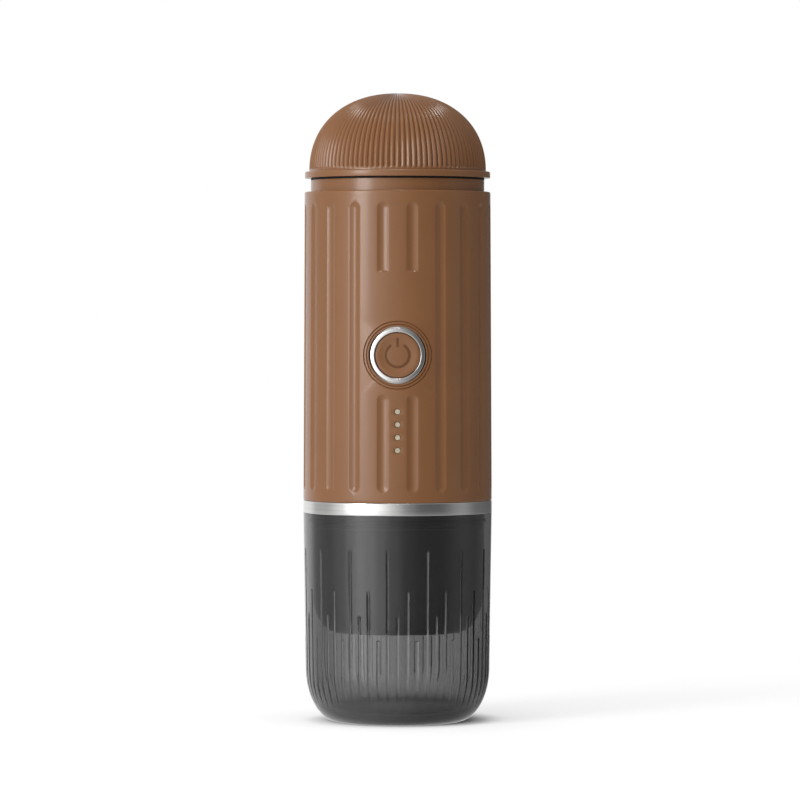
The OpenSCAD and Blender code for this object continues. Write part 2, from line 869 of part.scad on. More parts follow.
module port_cover() {
    color(brown) difference() {
        intersection() {
            union() {
                port_pin_bar(barrel_r, cover_w);
                translate([-cover_w / 2, cover_back, pin_z - cover_l])
                    cube([cover_w, foot_r - cover_back, cover_l]);
            }
            disc(cover_side_r, pin_z - cover_l - cut, pin_z + 2 * cut);
        }
        port_pin_bar(pin_r + press_gap, cover_w + cut);
    }
}

module port_pin() {
    color(steel) port_pin_bar(pin_r, pin_l);
}

// A closed can round the coil, with a hole at each end for the sleeve
module pump_yoke() {
    color("#8d9196") at([0, pump_y]) difference() {
        disc(pump_r, pump_z, pump_top);
        disc(pump_r - yoke_t, pump_z + yoke_t, pump_top - yoke_t);
        disc(sleeve_r + press_gap, pump_z - cut, pump_top + cut);
    }
}

module pump_coil() {
    color(copper) at([0, pump_y]) tube(pump_r - yoke_t - free_gap, sleeve_r + close_gap,
        pump_z + yoke_t, pump_top - yoke_t);
}

module pump_sleeve() {
    color("#d7d2c4") at([0, pump_y]) tube(sleeve_r, sleeve_in_r, pump_z, pump_top);
}

module pump_plunger() {
    color(steel) at([0, pump_y]) tube(plunger_r, plunger_bore_r, plunger_z, plunger_z + plunger_l);
}

module return_spring() {
    color("#6d7074") at([0, pump_y]) tube(plunger_r - free_gap, plunger_r - free_gap - spring_wall,
        pump_z + spigot_in, plunger_z);
}

module buffer_spring() {
    color("#6d7074") at([0, pump_y]) tube(plunger_r - free_gap, plunger_r - free_gap - spring_wall,
        plunger_z + plunger_l, pump_top - spigot_in);
}

// Valve body under the pump, with a chamber for the ball and a nipple for the hose
module outlet_valve() {
    color("#3d4045") at([0, pump_y]) difference() {
        union() {
            disc(nipple_r, valve_nipple_z, valve_z + cut);
            disc(valve_r, valve_z, pump_z);
            disc(sleeve_in_r - close_gap, pump_z - cut, pump_z + spigot_in);
        }
        disc(nipple_bore_r, valve_nipple_z - cut, chamber_z + cut);
        disc(chamber_r, chamber_z, chamber_top);
        disc(seat_r, chamber_top - cut, pump_z + spigot_in + cut);
    }
}

module valve_ball() {
    color(steel) at([0, pump_y]) translate([0, 0, ball_z]) sphere(r = ball_r);
}

module valve_spring() {
    color("#6d7074") at([0, pump_y]) tube(chamber_r - free_gap, nipple_bore_r + spring_step,
        chamber_z, ball_z - ball_r);
}

module pump_inlet() {
    color("#3d4045") at([0, pump_y]) difference() {
        union() {
            disc(sleeve_in_r - close_gap, pump_top - spigot_in, pump_top + cut);
            disc(valve_r, pump_top, inlet_z);
            disc(nipple_r, inlet_z - cut, inlet_nipple_z);
        }
        disc(nipple_bore_r, pump_top - spigot_in - cut, inlet_nipple_z + cut);
    }
}

module inlet_hose() {
    color(silicone) at([0, pump_y]) tube(hose_out_r, hose_r, inlet_z, tank_nipple_z + nipple_l);
}

module outlet_hose() {
    color(silicone) at([0, pump_y]) tube(hose_out_r, hose_r, head_z, valve_z);
}

// A block turned to fit the housing, with a spigot for the cup and a socket for the capsule holder
module head_block() {
    socket_r = holder_r + socket_gap;
    outer = [[socket_r, spigot_z], [spigot_r, spigot_z],
        [spigot_r, seal_z - cup_seal_d / 2], [spigot_r - seal_groove, seal_z - cup_seal_d / 2],
        [spigot_r - seal_groove, seal_z + cup_seal_d / 2], [spigot_r, seal_z + cup_seal_d / 2],
        [spigot_r, snap_z], [snap_r - close_gap, snap_z + close_gap], [snap_r - close_gap, snap_z + snap_h],
        [spigot_r, snap_z + snap_h], [spigot_r, head_z]];
    inner = [[0, head_z], [0, ceiling_z], [boss_r, ceiling_z], [boss_r, ceiling_z + plenum_h],
        [plenum_r, ceiling_z + plenum_h], [plenum_r, ceiling_z], [socket_r, ceiling_z]];
    rotate_extrude() polygon(concat(outer, inner));
}

module brew_head() {
    color(dark_plastic) difference() {
        union() {
            head_block();
            at([0, pump_y]) disc(nipple_r, head_z - cut, head_nipple_z);
        }
        at([0, pump_y]) disc(nipple_bore_r, ceiling_z - cut, head_nipple_z + cut);
        for (column = columns) at(column) {
            disc(screw_r + close_gap, ceiling_z - cut, head_z + cut);
            disc(screw_head_r + close_gap, ceiling_z - cut, ceiling_z + screw_head_h + close_gap);
        }
        disc(shower_screw_r + press_gap, ceiling_z - cut, ceiling_z + shower_screw_l);
    }
}

// A spike that opens the capsule, standing on a plate's face with its root sunk in
module spike() {
    root = spike_r / 2;
    rotate_extrude() polygon([[0, -root], [spike_r, -root], [spike_r, 0], [spike_r / 4, spike_h], [0, spike_h]]);
}

// Shower plate under the brew head's ceiling, with spikes and small holes
module shower_plate() {
    hole_count = 12;
    hole_r = 0.5;
    hole_circle = 9.5;
    color(steel) difference() {
        union() {
            disc(shower_r, ceiling_z - shower_t, ceiling_z);
            for (angle = [30:120:270]) rotate([0, 0, angle]) translate([spike_circle, 0, ceiling_z - shower_t])
                mirror([0, 0, 1]) spike();
        }
        for (i = [0:hole_count - 1]) rotate([0, 0, i * 360 / hole_count]) translate([hole_circle, 0, 0])
            disc(hole_r, ceiling_z - 2 * cut, ceiling_z + cut);
        disc(shower_screw_r + press_gap, ceiling_z - 2 * cut, ceiling_z + cut);
    }
}

module shower_screw() {
    color("#9a9da1") union() {
        disc(shower_screw_r, ceiling_z - shower_t - cut, ceiling_z + shower_screw_l - free_gap);
        disc(2 * shower_screw_r, ceiling_z - shower_t - screw_head_h, ceiling_z - shower_t);
    }
}

module brew_seal() {
    color(silicone) tube(capsule_rim_d / 2 + brew_seal_rim, seal_in_r, ceiling_z - brew_seal_t, ceiling_z);
}

module cup_seal() {
    seal_r = cup_seal_d / 2;
    color(silicone) translate([0, 0, seal_z]) rotate_extrude()
        translate([spigot_r - seal_groove + seal_r, 0]) circle(r = seal_r - press_gap);
}

module trim_ring() {
    bevel = edge / 2;
    inner_r = spigot_r + press_gap;
    color(steel) rotate_extrude() polygon([[inner_r, rim_z], [ring_r - bevel, rim_z], [ring_r, rim_z + bevel],
        [ring_r, foot_z - bevel], [ring_r - bevel, foot_z], [inner_r, foot_z]]);
}

// A barrel with a rounded foot that fills the cup, and a neck that goes up into the brew head
module capsule_holder() {
    base_r = holder_wide_r - holder_foot_w;
    foot = foot_outline(base_r, holder_z, holder_foot_w, holder_foot_h);
    neck = [[holder_wide_r, holder_wide_top], [holder_r, holder_wide_top], [holder_r, holder_top],
        [holder_bore_r, holder_top]];
    bore = reversed(foot_outline(base_r, holder_floor_z, holder_bore_r - base_r, holder_foot_h - holder_floor));
    nozzle = [[nozzle_r + press_gap, holder_floor_z], [nozzle_r + press_gap, holder_z]];
    color(dark_plastic) rotate_extrude() polygon(concat(foot, neck, bore, nozzle));
}

// The capsule's seat: a cone on a foot, with a rim that fills the holder's mouth
module capsule_basket() {
    top_in_r = capsule_d / 2;
    end_in_r = capsule_end_d / 2;
    foot_in_r = end_in_r - pierce_ledge;
    pierce_z = seat_low - pierce_t;
    outline = [[capsule_rim_d / 2, basket_top], [capsule_rim_d / 2, seat_z], [top_in_r, seat_z],
        [end_in_r, seat_low], [end_in_r, pierce_z], [foot_in_r, pierce_z], [foot_in_r, holder_floor_z],
        [end_in_r + basket_wall, holder_floor_z], [end_in_r + basket_wall, seat_low],
        [top_in_r + basket_wall, basket_top - basket_rim_h], [basket_r, basket_top - basket_rim_h],
        [basket_r, basket_top]];
    color("#3a3c40") rotate_extrude() polygon(outline);
}

module pierce_plate() {
    plate_r = capsule_end_d / 2 - close_gap;
    pierce_z = seat_low - pierce_t;
    color(steel) difference() {
        union() {
            disc(plate_r, pierce_z, seat_low);
            for (angle = [90:120:330]) rotate([0, 0, angle]) translate([spike_circle, 0, seat_low]) spike();
        }
        for (angle = [30:60:330]) rotate([0, 0, angle]) translate([spike_circle, 0, 0])
            disc(spike_r / 2, pierce_z - cut, seat_low + cut);
        disc(spike_r, pierce_z - cut, seat_low + cut);
    }
}

module outlet_nozzle() {
    color("#55585c") difference() {
        union() {
            disc(nozzle_r, holder_z, holder_floor_z);
            disc(nozzle_rim_r, holder_floor_z, holder_floor_z + nozzle_rim_h);
        }
        disc(nozzle_bore_r, holder_z - cut, holder_floor_z + nozzle_rim_h + cut);
    }
}

// A fine flute down the cup's side, which runs out where the foot rounds in
module cup_flute(angle, top) {
    r = cutter_r(flute_w, flute_depth);
    lean = atan(cup_draft / (cup_h - cup_foot_h));
    low = cup_foot_h / 2;
    from_front(angle) translate([ring_r + r - flute_depth, 0, cup_h]) rotate([0, lean, 0])
        groove_cutter(r, (r - flute_depth) * tip_share, low - cup_h, top - cup_h, 0, flute_w);
}

module cup() {
    side_low_r = ring_r - cup_draft;
    base_r = side_low_r - cup_foot_w;
    outer = concat([[0, 0]], foot_outline(base_r, 0, cup_foot_w, cup_foot_h), [[ring_r, cup_h]]);
    inner = concat([[ring_r - cup_wall, cup_h]],
        reversed(foot_outline(base_r, cup_floor, cup_foot_w - cup_wall, cup_foot_h - cup_floor)),
        [[0, cup_floor]]);
    tops = [flute_short, flute_long, flute_shortest, flute_longest];
    color("#6b6b6d", 0.5) difference() {
        rotate_extrude() polygon(concat(outer, inner));
        for (i = [0:flute_count - 1]) cup_flute(i * 360 / flute_count, tops[i % len(tops)]);
    }
}

dome_cover();
lid_plug();
lid_seal();
outer_housing();
neck_collar();
water_tank();
heater_plate();
heating_element();
thermostat();
temperature_sensor();
heater_leads();
upper_frame();
lower_frame();
frame_screws();
head_screws();
battery_cells();
battery_tabs();
circuit_board();
board_components();
tact_switch();
switch_plunger();
indicator_leds();
indicator_lenses();
button_bezel();
power_button();
power_sign();
charge_board();
charge_socket();
port_cover();
port_pin();
pump_yoke();
pump_coil();
pump_sleeve();
pump_plunger();
return_spring();
buffer_spring();
outlet_valve();
valve_ball();
valve_spring();
pump_inlet();
inlet_hose();
outlet_hose();
brew_head();
shower_plate();
shower_screw();
brew_seal();
cup_seal();
trim_ring();
capsule_holder();
capsule_basket();
pierce_plate();
outlet_nozzle();
cup();
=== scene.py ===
"""Portable capsule coffee maker: its dressed pieces, their materials, the studio and the camera.

The frame's origin is the middle of the cup's base, +Z is up and the front faces -Y. Sizes are in
millimetres until a mesh is made, and angles are in degrees from the front, growing towards +X.
"""
import json
import math

import bmesh
import bpy
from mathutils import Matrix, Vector


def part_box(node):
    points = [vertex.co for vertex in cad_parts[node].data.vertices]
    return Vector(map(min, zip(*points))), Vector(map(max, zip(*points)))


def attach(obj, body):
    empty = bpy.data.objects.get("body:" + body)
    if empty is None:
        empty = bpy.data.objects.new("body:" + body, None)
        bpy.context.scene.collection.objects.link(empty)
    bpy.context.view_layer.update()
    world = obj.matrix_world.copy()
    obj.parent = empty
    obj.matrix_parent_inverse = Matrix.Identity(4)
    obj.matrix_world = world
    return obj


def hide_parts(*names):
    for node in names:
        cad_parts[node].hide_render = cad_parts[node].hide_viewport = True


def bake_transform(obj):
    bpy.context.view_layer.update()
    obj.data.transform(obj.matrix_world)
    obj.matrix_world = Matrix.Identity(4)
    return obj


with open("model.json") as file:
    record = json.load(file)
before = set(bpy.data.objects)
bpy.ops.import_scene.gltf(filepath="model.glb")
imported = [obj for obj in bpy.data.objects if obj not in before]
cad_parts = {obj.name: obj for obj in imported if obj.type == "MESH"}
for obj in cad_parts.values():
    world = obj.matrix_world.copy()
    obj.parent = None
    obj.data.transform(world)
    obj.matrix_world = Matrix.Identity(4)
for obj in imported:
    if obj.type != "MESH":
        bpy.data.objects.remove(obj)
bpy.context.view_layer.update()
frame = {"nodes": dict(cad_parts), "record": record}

MM = 0.001
SHARP_EDGE = 35
TOUCH = 0.001
SEAM_STEPS = 3
RING_STEPS = 4
EDGE_STEPS = 5

# Housing
HOUSING_DRAFT = 0.5
BORE_GAP = 0.1
EDGE_ROUND = 0.5
LOW_ROUND = 0.3
SEAM_ROUND = 0.1
ROUND_COLUMNS = 160
GROOVE_COUNT = 20
GROOVE_W = 4.3
GROOVE_DEPTH = 0.62
GROOVE_POWER = 1.7
GROOVE_LIP = 0.03
GROOVE_LOW = 3.8
GROOVE_HIGH = 4.4
GROOVE_SQUARE_END = 0.5
GROOVE_MARGIN = 0.1
BACK_GROOVE_GAP = 2.1
FRONT_LOW_TOP = 39.7
FRONT_HIGH_LOW = 84.4
GROOVE_COLUMNS = 30
LAND_COLUMNS = 8
INTO_COLUMN = 0.1
FINE_ROWS = 0.2
WIDE_ROWS = 1.3
END_ROWS = 4
BUTTON_PATCH = 14
LED_PATCH = 1.6
LED_GAP = 0.18
HOLE_GAP = 0.05
HOLE_ROUND = 0.15
HOLE_ROUND_MIDDLE = 0.3
LINE_RADII = (11.3, 12.35)
LINE_W = 0.5
LINE_DEPTH = 0.45
LINE_SHOULDER = 0.8
PORT_GAP = 0.3
LED_COUNT = 4

# Dome
RIB_COUNT = 100
RIB_COLUMNS = 20
RIB_SHARE = 0.29
RIB_CREST = 0.12
VALLEY_FROM = 0.6
VALLEY_SHARE = 0.72
RIB_PHASE = 0.18
RIB_LOW = 0.7
RIB_RUN_IN = 0.5
DOME_STEPS = 60
DOME_INNER_STEPS = 14
DOME_CROWDING = 1.3
DOME_FULLNESS = 2.2
DOME_STEP = 1.6
DOME_WALL = 2
FLANGE_H = 2.4

# Cup
CUP_WALL = 2
CUP_FLOOR = 3.2
CUP_DRAFT = 0.9
CUP_FOOT_W = 11.5
CUP_FOOT_H = 20
FLUTE_COUNT = 60
FLUTE_TOPS = (40.8, 49.8, 32, 64.7)
FLUTE_W = 1.3
FLUTE_DEPTH = 0.4
FLUTE_SOFT = 0.03
FLUTE_TIP = 0.35
CUP_RIM_ROUND = 0.1
FLUTE_LOW = 6
FLUTE_FADE = 9
FLUTE_MARGIN = 1.5
FLUTE_COLUMNS = 8
FLUTE_LAND_COLUMNS = 3
FLUTE_TIP_ROWS = 5
CUP_ROWS = 3
CUP_FOOT_STEPS = 40
CUP_INNER_STEPS = 24
CUP_BASE_SHARES = (0, 0.5, 0.8)

# Collar and capsule holder
TANK_RIM = 0.8
TANK_RIM_H = 1.2
HOLDER_NECK_R = 29.4
HOLDER_WALL = 2
HOLDER_FLOOR = 3
HOLDER_FOOT_W = 9
HOLDER_FOOT_H = 18
HOLDER_GAP = 0.08
HOLDER_SWELL = 0.3
HOLDER_FOOT_STEPS = 24
HOLDER_BORE_STEPS = 12
NOZZLE_R = 5

# Button
BEZEL_W = 2
BEZEL_ROUND = 0.3
BEZEL_INSET = 0.4
BEZEL_STEP = 2.8
BUTTON_GAP = 0.2
BUTTON_DISH = 0.75
DISH_FLAT = 0.55
BUTTON_ROUND = 0.35
BUTTON_STEPS = 20
SIGN_LINE = 0.9
SIGN_D = 9.5
SIGN_OPENING = 64
SIGN_BAR_UP = 3
SIGN_BAR_L = 3.3
SIGN_LIFT = 0.03
SIGN_DEPTH = 0.12
SIGN_ARC_STEPS = 48
SIGN_BAR_STEPS = 8
STEM_L = 0.55
STEM_R = 1.5
BUTTON_FLANGE = 1
FRONT_COLUMNS = 96

# Springs
PUMP_WIRE = 0.5
PUMP_TURNS = 4
VALVE_WIRE = 0.15
VALVE_TURNS = 1
SPRING_RINGS = 24
SPRING_SIDES = 8
SPRING_SHARP_EDGE = 60

# Materials, with scales in features per metre, and heights and depths in metres
NOISE_LOW = 0.3
NOISE_HIGH = 0.7
DRIFT_SCALE = 45
GLOSS_SCALE = 900
GRAIN_SCALE = 5500
COLOUR_SPREAD = 0.04
GLOSS_SPREAD = 0.03
BRUSHED_SPREAD = 0.05
BRUSHED_DARK = 0.92
BRUSHED_LIGHT = 1.04
BRUSHED_DEPTH = 0.000004
TRACK_SCALE = 160
TRACK_W = 0.08
TRACK_HEIGHT = 0.00004
MASK_COLOUR = (0.008, 0.075, 0.035)
TRACK_COLOUR = (0.02, 0.13, 0.06)
LENS_SCALE = 700
LENS_DARK = (0.55, 0.47, 0.35)
LENS_LIGHT = (0.68, 0.6, 0.45)
SMOKE_SCALE = 60
SMOKE_ROUGHNESS = (0.02, 0.05)

# Studio, in metres and degrees
MIDDLE = (0, 0, 0.12)
KEY_RADIANCE = 4.7
KEY_PLACE = (-46, 18, 1.5)
KEY_SIZE = (0.5, 0.95)
TOP_RADIANCE = 10
TOP_PLACE = (0, 86, 1.4)
TOP_SIZE = (0.32, 0.32)
WORLD_TOP = 0.45
WORLD_TOP_FROM = 0.3
WORLD_TOP_FULL = 0.75
WORLD_LOW = (0.8, 0.42)
WORLD_LOW_TURN = (-0.3, 0.4)
WORLD_LOW_FROM = -0.12
WORLD_LOW_FULL = -0.35
BACKDROP_FROM = 0.97
BACKDROP_FULL = 0.985
WORLD_LEVELS = ((-180, 1), (-134, 0.95), (-118, 0.5), (-95, 0.48), (-72, 0.9), (-60, 1.62),
                (-47, 2.25), (-34, 1.9), (-20, 1.25), (-4, 0.66), (12, 0.26), (30, 0.12),
                (52, 0.12), (86, 0.33), (112, 0.16), (160, 0.12), (176, 0.8), (180, 1))
FLOOR_Z = -0.0001
FLOOR_SIZE = 12
FLOOR_WHITE = 0.82
FLOOR_LIFT = 0.45
# Painted shadow on the floor: a patch round this point, within this reach, where the floor's glow is held
# back
PAINTED_SHADOW_MIDDLE = (0.003, 0.008, 0)
PAINTED_SHADOW_REACH = (0.022, 0.04)
FLOOR_FADE = (0.1, 0.35)

# Camera, in metres and degrees
CAMERA_PLACE = (0.00089, -1.697, 0.15)
CAMERA_SENSOR = 36
CAMERA_LENS = 205.5
CAMERA_DIP = 1.04


# Sizes taken from the frame

def size_of(node):
    """Lowest and highest corner of a CAD node, in millimetres."""
    low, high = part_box(node)
    return low / MM, high / MM


housing_low, housing_high = size_of("outer_housing")
collar_low, collar_high = size_of("neck_collar")
dome_low, dome_high = size_of("dome_cover")
ring_low, ring_high = size_of("trim_ring")
cup_high = size_of("cup")[1]
holder_low, holder_high = size_of("capsule_holder")
bezel_low, bezel_high = size_of("button_bezel")
button_low, button_high = size_of("power_button")
lens_low, lens_high = size_of("indicator_lenses")
cover_low, cover_high = size_of("port_cover")

foot_z = housing_low.z
top_z = housing_high.z
foot_r = housing_high.x
bore_r = collar_high.x + BORE_GAP
ring_r = ring_high.x
button_z = (bezel_low.z + bezel_high.z) / 2
bezel_r = bezel_high.x
bezel_face_r = -bezel_low.y
button_r = bezel_r - BEZEL_W - BUTTON_GAP
button_face_r = -button_low.y
led_r = lens_high.x
led_first = lens_low.z + led_r
led_pitch = (lens_high.z - lens_low.z - 2 * led_r) / (LED_COUNT - 1)
led_heights = [led_first + i * led_pitch for i in range(LED_COUNT)]


# Mesh helpers

def around(radius, angle, height):
    """A point at a radius and an angle from the front."""
    turn = math.radians(angle)
    return Vector((radius * math.sin(turn), -radius * math.cos(turn), height))


def on_front(x, z, radius):
    """A point on the front of an upright cylinder of a radius, at x across and z up."""
    return Vector((x, -math.sqrt(radius * radius - x * x), z))


def soft_floor(value, soft):
    """The value where it is positive, run out softly to nothing where it is negative."""
    return (value + math.sqrt(value * value + soft * soft)) / 2


def spaced(stops, spacing):
    """Heights from the first stop to the last, through every stop, no further apart than the spacing."""
    heights = [stops[0]]
    for low, high in zip(stops, stops[1:]):
        steps = max(1, math.ceil((high - low) / spacing(low, high)))
        heights += [low + (high - low) * i / steps for i in range(1, steps + 1)]
    return heights


def arc_points(centre, radius, start, end, steps):
    """Points of (radius, height) on an arc, from one angle above the outward level to another."""
    turns = [math.radians(start + (end - start) * i / steps) for i in range(steps + 1)]
    return [(centre[0] + radius * math.cos(t), centre[1] + radius * math.sin(t)) for t in turns]


def mesh_piece(name, points, faces, sharp=SHARP_EDGE):
    """A closed mesh object from points in millimetres, smooth apart from its sharp edges."""
    mesh = bpy.data.meshes.new(name)
    mesh.from_pydata([point * MM for point in points], [], faces)
    work = bmesh.new()
    work.from_mesh(mesh)
    loose = [vert for vert in work.verts if not vert.link_faces]
    bmesh.ops.delete(work, geom=loose, context="VERTS")
    bmesh.ops.recalc_face_normals(work, faces=work.faces)
    work.to_mesh(mesh)
    work.free()
    mesh.shade_smooth()
    mesh.set_sharp_from_angle(angle=math.radians(sharp))
    piece = bpy.data.objects.new(name, mesh)
    bpy.context.scene.collection.objects.link(piece)
    return piece


def ring_faces(rings, closed):
    """Faces between each ring of point numbers and the next, and from the last to the first if closed."""
    pairs = list(zip(rings, rings[1:]))
    if closed:
        pairs.append((rings[-1], rings[0]))
    faces = []
    for near, far in pairs:
        for i in range(len(near)):
            after = (i + 1) % len(near)
            faces.append(tuple(dict.fromkeys((near[i], near[after], far[after], far[i]))))
    return faces


def outline_normals(outline):
    """The outward normal at each point of an outline that runs upwards on its outer side."""
    normals = []
    for i in range(len(outline)):
        before = outline[max(i - 1, 0)]
        after = outline[min(i + 1, len(outline) - 1)]
        along = Vector((after[0] - before[0], after[1] - before[1])).normalized()
        normals.append((along.y, -along.x))
    return normals


def turned(name, outline, angles, depth=None):
    """A piece turned about the upright axis from an outline of (radius, height) points.

    An outline that starts and ends on the axis is closed there, and any other is closed end to end.
    depth(angle, radius, height, index) says how far the surface is pushed in at a point.
    """
    normals = outline_normals(outline)
    points = []
    rings = []
    for index, (radius, height) in enumerate(outline):
        if radius == 0:
            rings.append([len(points)] * len(angles))
            points.append(Vector((0, 0, height)))
            continue
        rings.append(range(len(points), len(points) + len(angles)))
        out, up = normals[index]
        for angle in angles:
            push = depth(angle, radius, height, index) if depth else 0
            points.append(around(radius - push * out, angle, height - push * up))
    return mesh_piece(name, points, ring_faces(rings, closed=outline[0][0] > 0))


def even_angles(count):
    """Angles spread evenly round the axis."""
    return [360 * i / count for i in range(count)]


def dress(piece, material, body, slot, *nodes):
    """Gives a piece its material and the body it rides on, and hides the nodes it stands for; the slot is
    not used.
    """
    piece.data.materials.append(material)
    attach(piece, body)
    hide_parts(*nodes)


# Material helpers

class Nodes:
    """A node tree with short ways to add to it."""

    def __init__(self, tree):
        self.tree = tree

    def node(self, kind, **values):
        """A new node with its input sockets set."""
        made = self.tree.nodes.new(kind)
        for socket, value in values.items():
            made.inputs[socket.replace("_", " ")].default_value = value
        return made

    def link(self, source, target):
        self.tree.links.new(source, target)

    def maths(self, operation, first, second):
        """The result of an operation on two sources."""
        made = self.node("ShaderNodeMath")
        made.operation = operation
        self.link(first, made.inputs[0])
        self.link(second, made.inputs[1])
        return made.outputs["Value"]

    def ranged(self, source, low, high, to_low, to_high, curve="LINEAR"):
        """A source that runs from low to high, made to run from to_low to to_high."""
        made = self.node("ShaderNodeMapRange", From_Min=low, From_Max=high, To_Min=to_low, To_Max=to_high)
        made.interpolation_type = curve
        self.link(source, made.inputs["Value"])
        return made.outputs["Result"]

    def mixed(self, factor, first, second):
        """One shader at factor 0 and another at factor 1."""
        made = self.node("ShaderNodeMixShader")
        self.link(factor, made.inputs["Fac"])
        self.link(first, made.inputs[1])
        self.link(second, made.inputs[2])
        return made.outputs["Shader"]


class Shader(Nodes):
    """A material with one Principled shader and short ways to add patterns to it."""

    def __init__(self, name, **sockets):
        self.material = bpy.data.materials.new(name)
        self.material.use_nodes = True
        super().__init__(self.material.node_tree)
        self.surface = self.tree.nodes["Principled BSDF"]
        self.output = self.tree.nodes["Material Output"]
        for socket, value in sockets.items():
            self.surface.inputs[socket.replace("_", " ")].default_value = value

    def coordinates(self, stretch):
        """Object coordinates stretched by a factor along each axis."""
        place = self.node("ShaderNodeTexCoord")
        mapping = self.node("ShaderNodeMapping", Scale=stretch)
        self.link(place.outputs["Object"], mapping.inputs["Vector"])
        return mapping.outputs["Vector"]

    def noise(self, scale, detail=2, stretch=(1, 1, 1)):
        """A noise pattern's factor, with a scale in features per metre."""
        made = self.node("ShaderNodeTexNoise", Scale=scale, Detail=detail)
        self.link(self.coordinates(stretch), made.inputs["Vector"])
        return made.outputs["Fac"]

    def ramp(self, factor, low, high):
        """A colour that goes from low to high with a factor."""
        made = self.node("ShaderNodeValToRGB")
        made.color_ramp.elements[0].position = NOISE_LOW
        made.color_ramp.elements[1].position = NOISE_HIGH
        made.color_ramp.elements[0].color = (*low, 1)
        made.color_ramp.elements[1].color = (*high, 1)
        self.link(factor, made.inputs["Fac"])
        return made.outputs["Color"]

    def spread(self, factor, low, high):
        """A number that goes from low to high with a factor."""
        return self.ranged(factor, NOISE_LOW, NOISE_HIGH, low, high)

    def bump(self, height, distance):
        """Links a bump of a height pattern, with a distance in metres, to the shader's normal."""
        made = self.node("ShaderNodeBump", Strength=1, Distance=distance)
        self.link(height, made.inputs["Height"])
        self.link(made.outputs["Normal"], self.surface.inputs["Normal"])

    def set(self, socket, source):
        self.link(source, self.surface.inputs[socket])


def tinted(colour, factor):
    """A colour made lighter or darker by a factor."""
    return tuple(channel * factor for channel in colour)


def moulded(name, colour, roughness, grain=0.000001, gloss=0.5):
    """Moulded plastic: a fine grain, and a colour and gloss that drift a little over the surface."""
    shader = Shader(name, Specular_IOR_Level=gloss)
    drift = shader.noise(DRIFT_SCALE, detail=3)
    dark = tinted(colour, 1 - COLOUR_SPREAD)
    light = tinted(colour, 1 + COLOUR_SPREAD)
    shader.set("Base Color", shader.ramp(drift, dark, light))
    sheen = shader.noise(GLOSS_SCALE)
    shader.set("Roughness", shader.spread(sheen, roughness - GLOSS_SPREAD, roughness + GLOSS_SPREAD))
    shader.bump(shader.noise(GRAIN_SCALE, detail=1), grain)
    return shader.material


def brushed(name, colour, roughness, stretch):
    """Metal with fine lines across the axis that is stretched most, or an even grain where none is."""
    shader = Shader(name, Metallic=1)
    lines = shader.noise(1, detail=3, stretch=stretch)
    dark = tinted(colour, BRUSHED_DARK)
    light = tinted(colour, BRUSHED_LIGHT)
    shader.set("Base Color", shader.ramp(lines, dark, light))
    shader.set("Roughness", shader.spread(lines, roughness - GLOSS_SPREAD, roughness + BRUSHED_SPREAD))
    shader.bump(lines, BRUSHED_DEPTH)
    return shader.material


def brown_plastic():
    return moulded("brown_plastic", colour=(0.275, 0.122, 0.05), roughness=0.22)


def dark_plastic():
    return moulded("dark_plastic", colour=(0.16, 0.16, 0.163), roughness=0.35)


def frame_plastic():
    return moulded("frame_plastic", colour=(0.075, 0.08, 0.088), roughness=0.5)


def pale_plastic():
    return moulded("pale_plastic", colour=(0.68, 0.65, 0.58), roughness=0.45)


def silicone():
    return moulded("silicone", colour=(0.014, 0.012, 0.011), roughness=0.6, gloss=0.15)


def grey_silicone():
    return moulded("grey_silicone", colour=(0.16, 0.16, 0.163), roughness=0.5)


def sign_ink():
    return moulded("sign_ink", colour=(0.16, 0.068, 0.028), roughness=0.5, gloss=0.2)


def cell_wrap():
    return moulded("cell_wrap", colour=(0.03, 0.16, 0.27), roughness=0.3, grain=0.000006)


def lead_red():
    return moulded("lead_red", colour=(0.45, 0.045, 0.03), roughness=0.4)


def trim_metal():
    return brushed("trim_metal", colour=(0.75, 0.745, 0.74), roughness=0.2, stretch=(15, 15, 5200))


def bezel_metal():
    return brushed("bezel_metal", colour=(0.8, 0.78, 0.76), roughness=0.18, stretch=(2600, 2600, 2600))


def steel():
    return brushed("steel", colour=(0.62, 0.62, 0.63), roughness=0.28, stretch=(60, 60, 2600))


def aluminium():
    return brushed("aluminium", colour=(0.72, 0.73, 0.74), roughness=0.34, stretch=(900, 60, 60))


def copper():
    return brushed("copper", colour=(0.72, 0.36, 0.2), roughness=0.3, stretch=(40, 40, 3200))


def board():
    """Solder mask over copper tracks, seen as faint raised lines."""
    shader = Shader("board", Roughness=0.35)
    tracks = shader.node("ShaderNodeTexBrick", Scale=TRACK_SCALE, Mortar_Size=TRACK_W)
    shader.link(shader.coordinates((1, 1, 1)), tracks.inputs["Vector"])
    lines = tracks.outputs["Fac"]
    shader.set("Base Color", shader.ramp(lines, MASK_COLOUR, TRACK_COLOUR))
    shader.bump(lines, TRACK_HEIGHT)
    return shader.material


def lens():
    """Milky light guide."""
    shader = Shader("lens", Roughness=0.25, Subsurface_Weight=0.4, Subsurface_Scale=0.001)
    shader.set("Base Color", shader.ramp(shader.noise(LENS_SCALE), LENS_DARK, LENS_LIGHT))
    return shader.material


def smoke_plastic():
    """Clear plastic with a grey tint through its whole thickness."""
    shader = Shader("smoke_plastic", IOR=1.65, Transmission_Weight=1)
    shader.surface.inputs["Base Color"].default_value = (0.9, 0.9, 0.905, 1)
    shader.set("Roughness", shader.spread(shader.noise(SMOKE_SCALE), *SMOKE_ROUGHNESS))
    tint = shader.node("ShaderNodeVolumeAbsorption", Color=(0.3, 0.3, 0.305, 1), Density=640)
    shader.link(tint.outputs["Volume"], shader.output.inputs["Volume"])
    return shader.material


NODE_LOOKS = {"cup_seal": "grey_silicone"}
MATERIALS = {make.__name__: make() for make in (
    brown_plastic, dark_plastic, frame_plastic, pale_plastic, silicone, grey_silicone, sign_ink,
    cell_wrap, lead_red, trim_metal, bezel_metal, steel, aluminium, copper, board, lens, smoke_plastic)}


# Housing

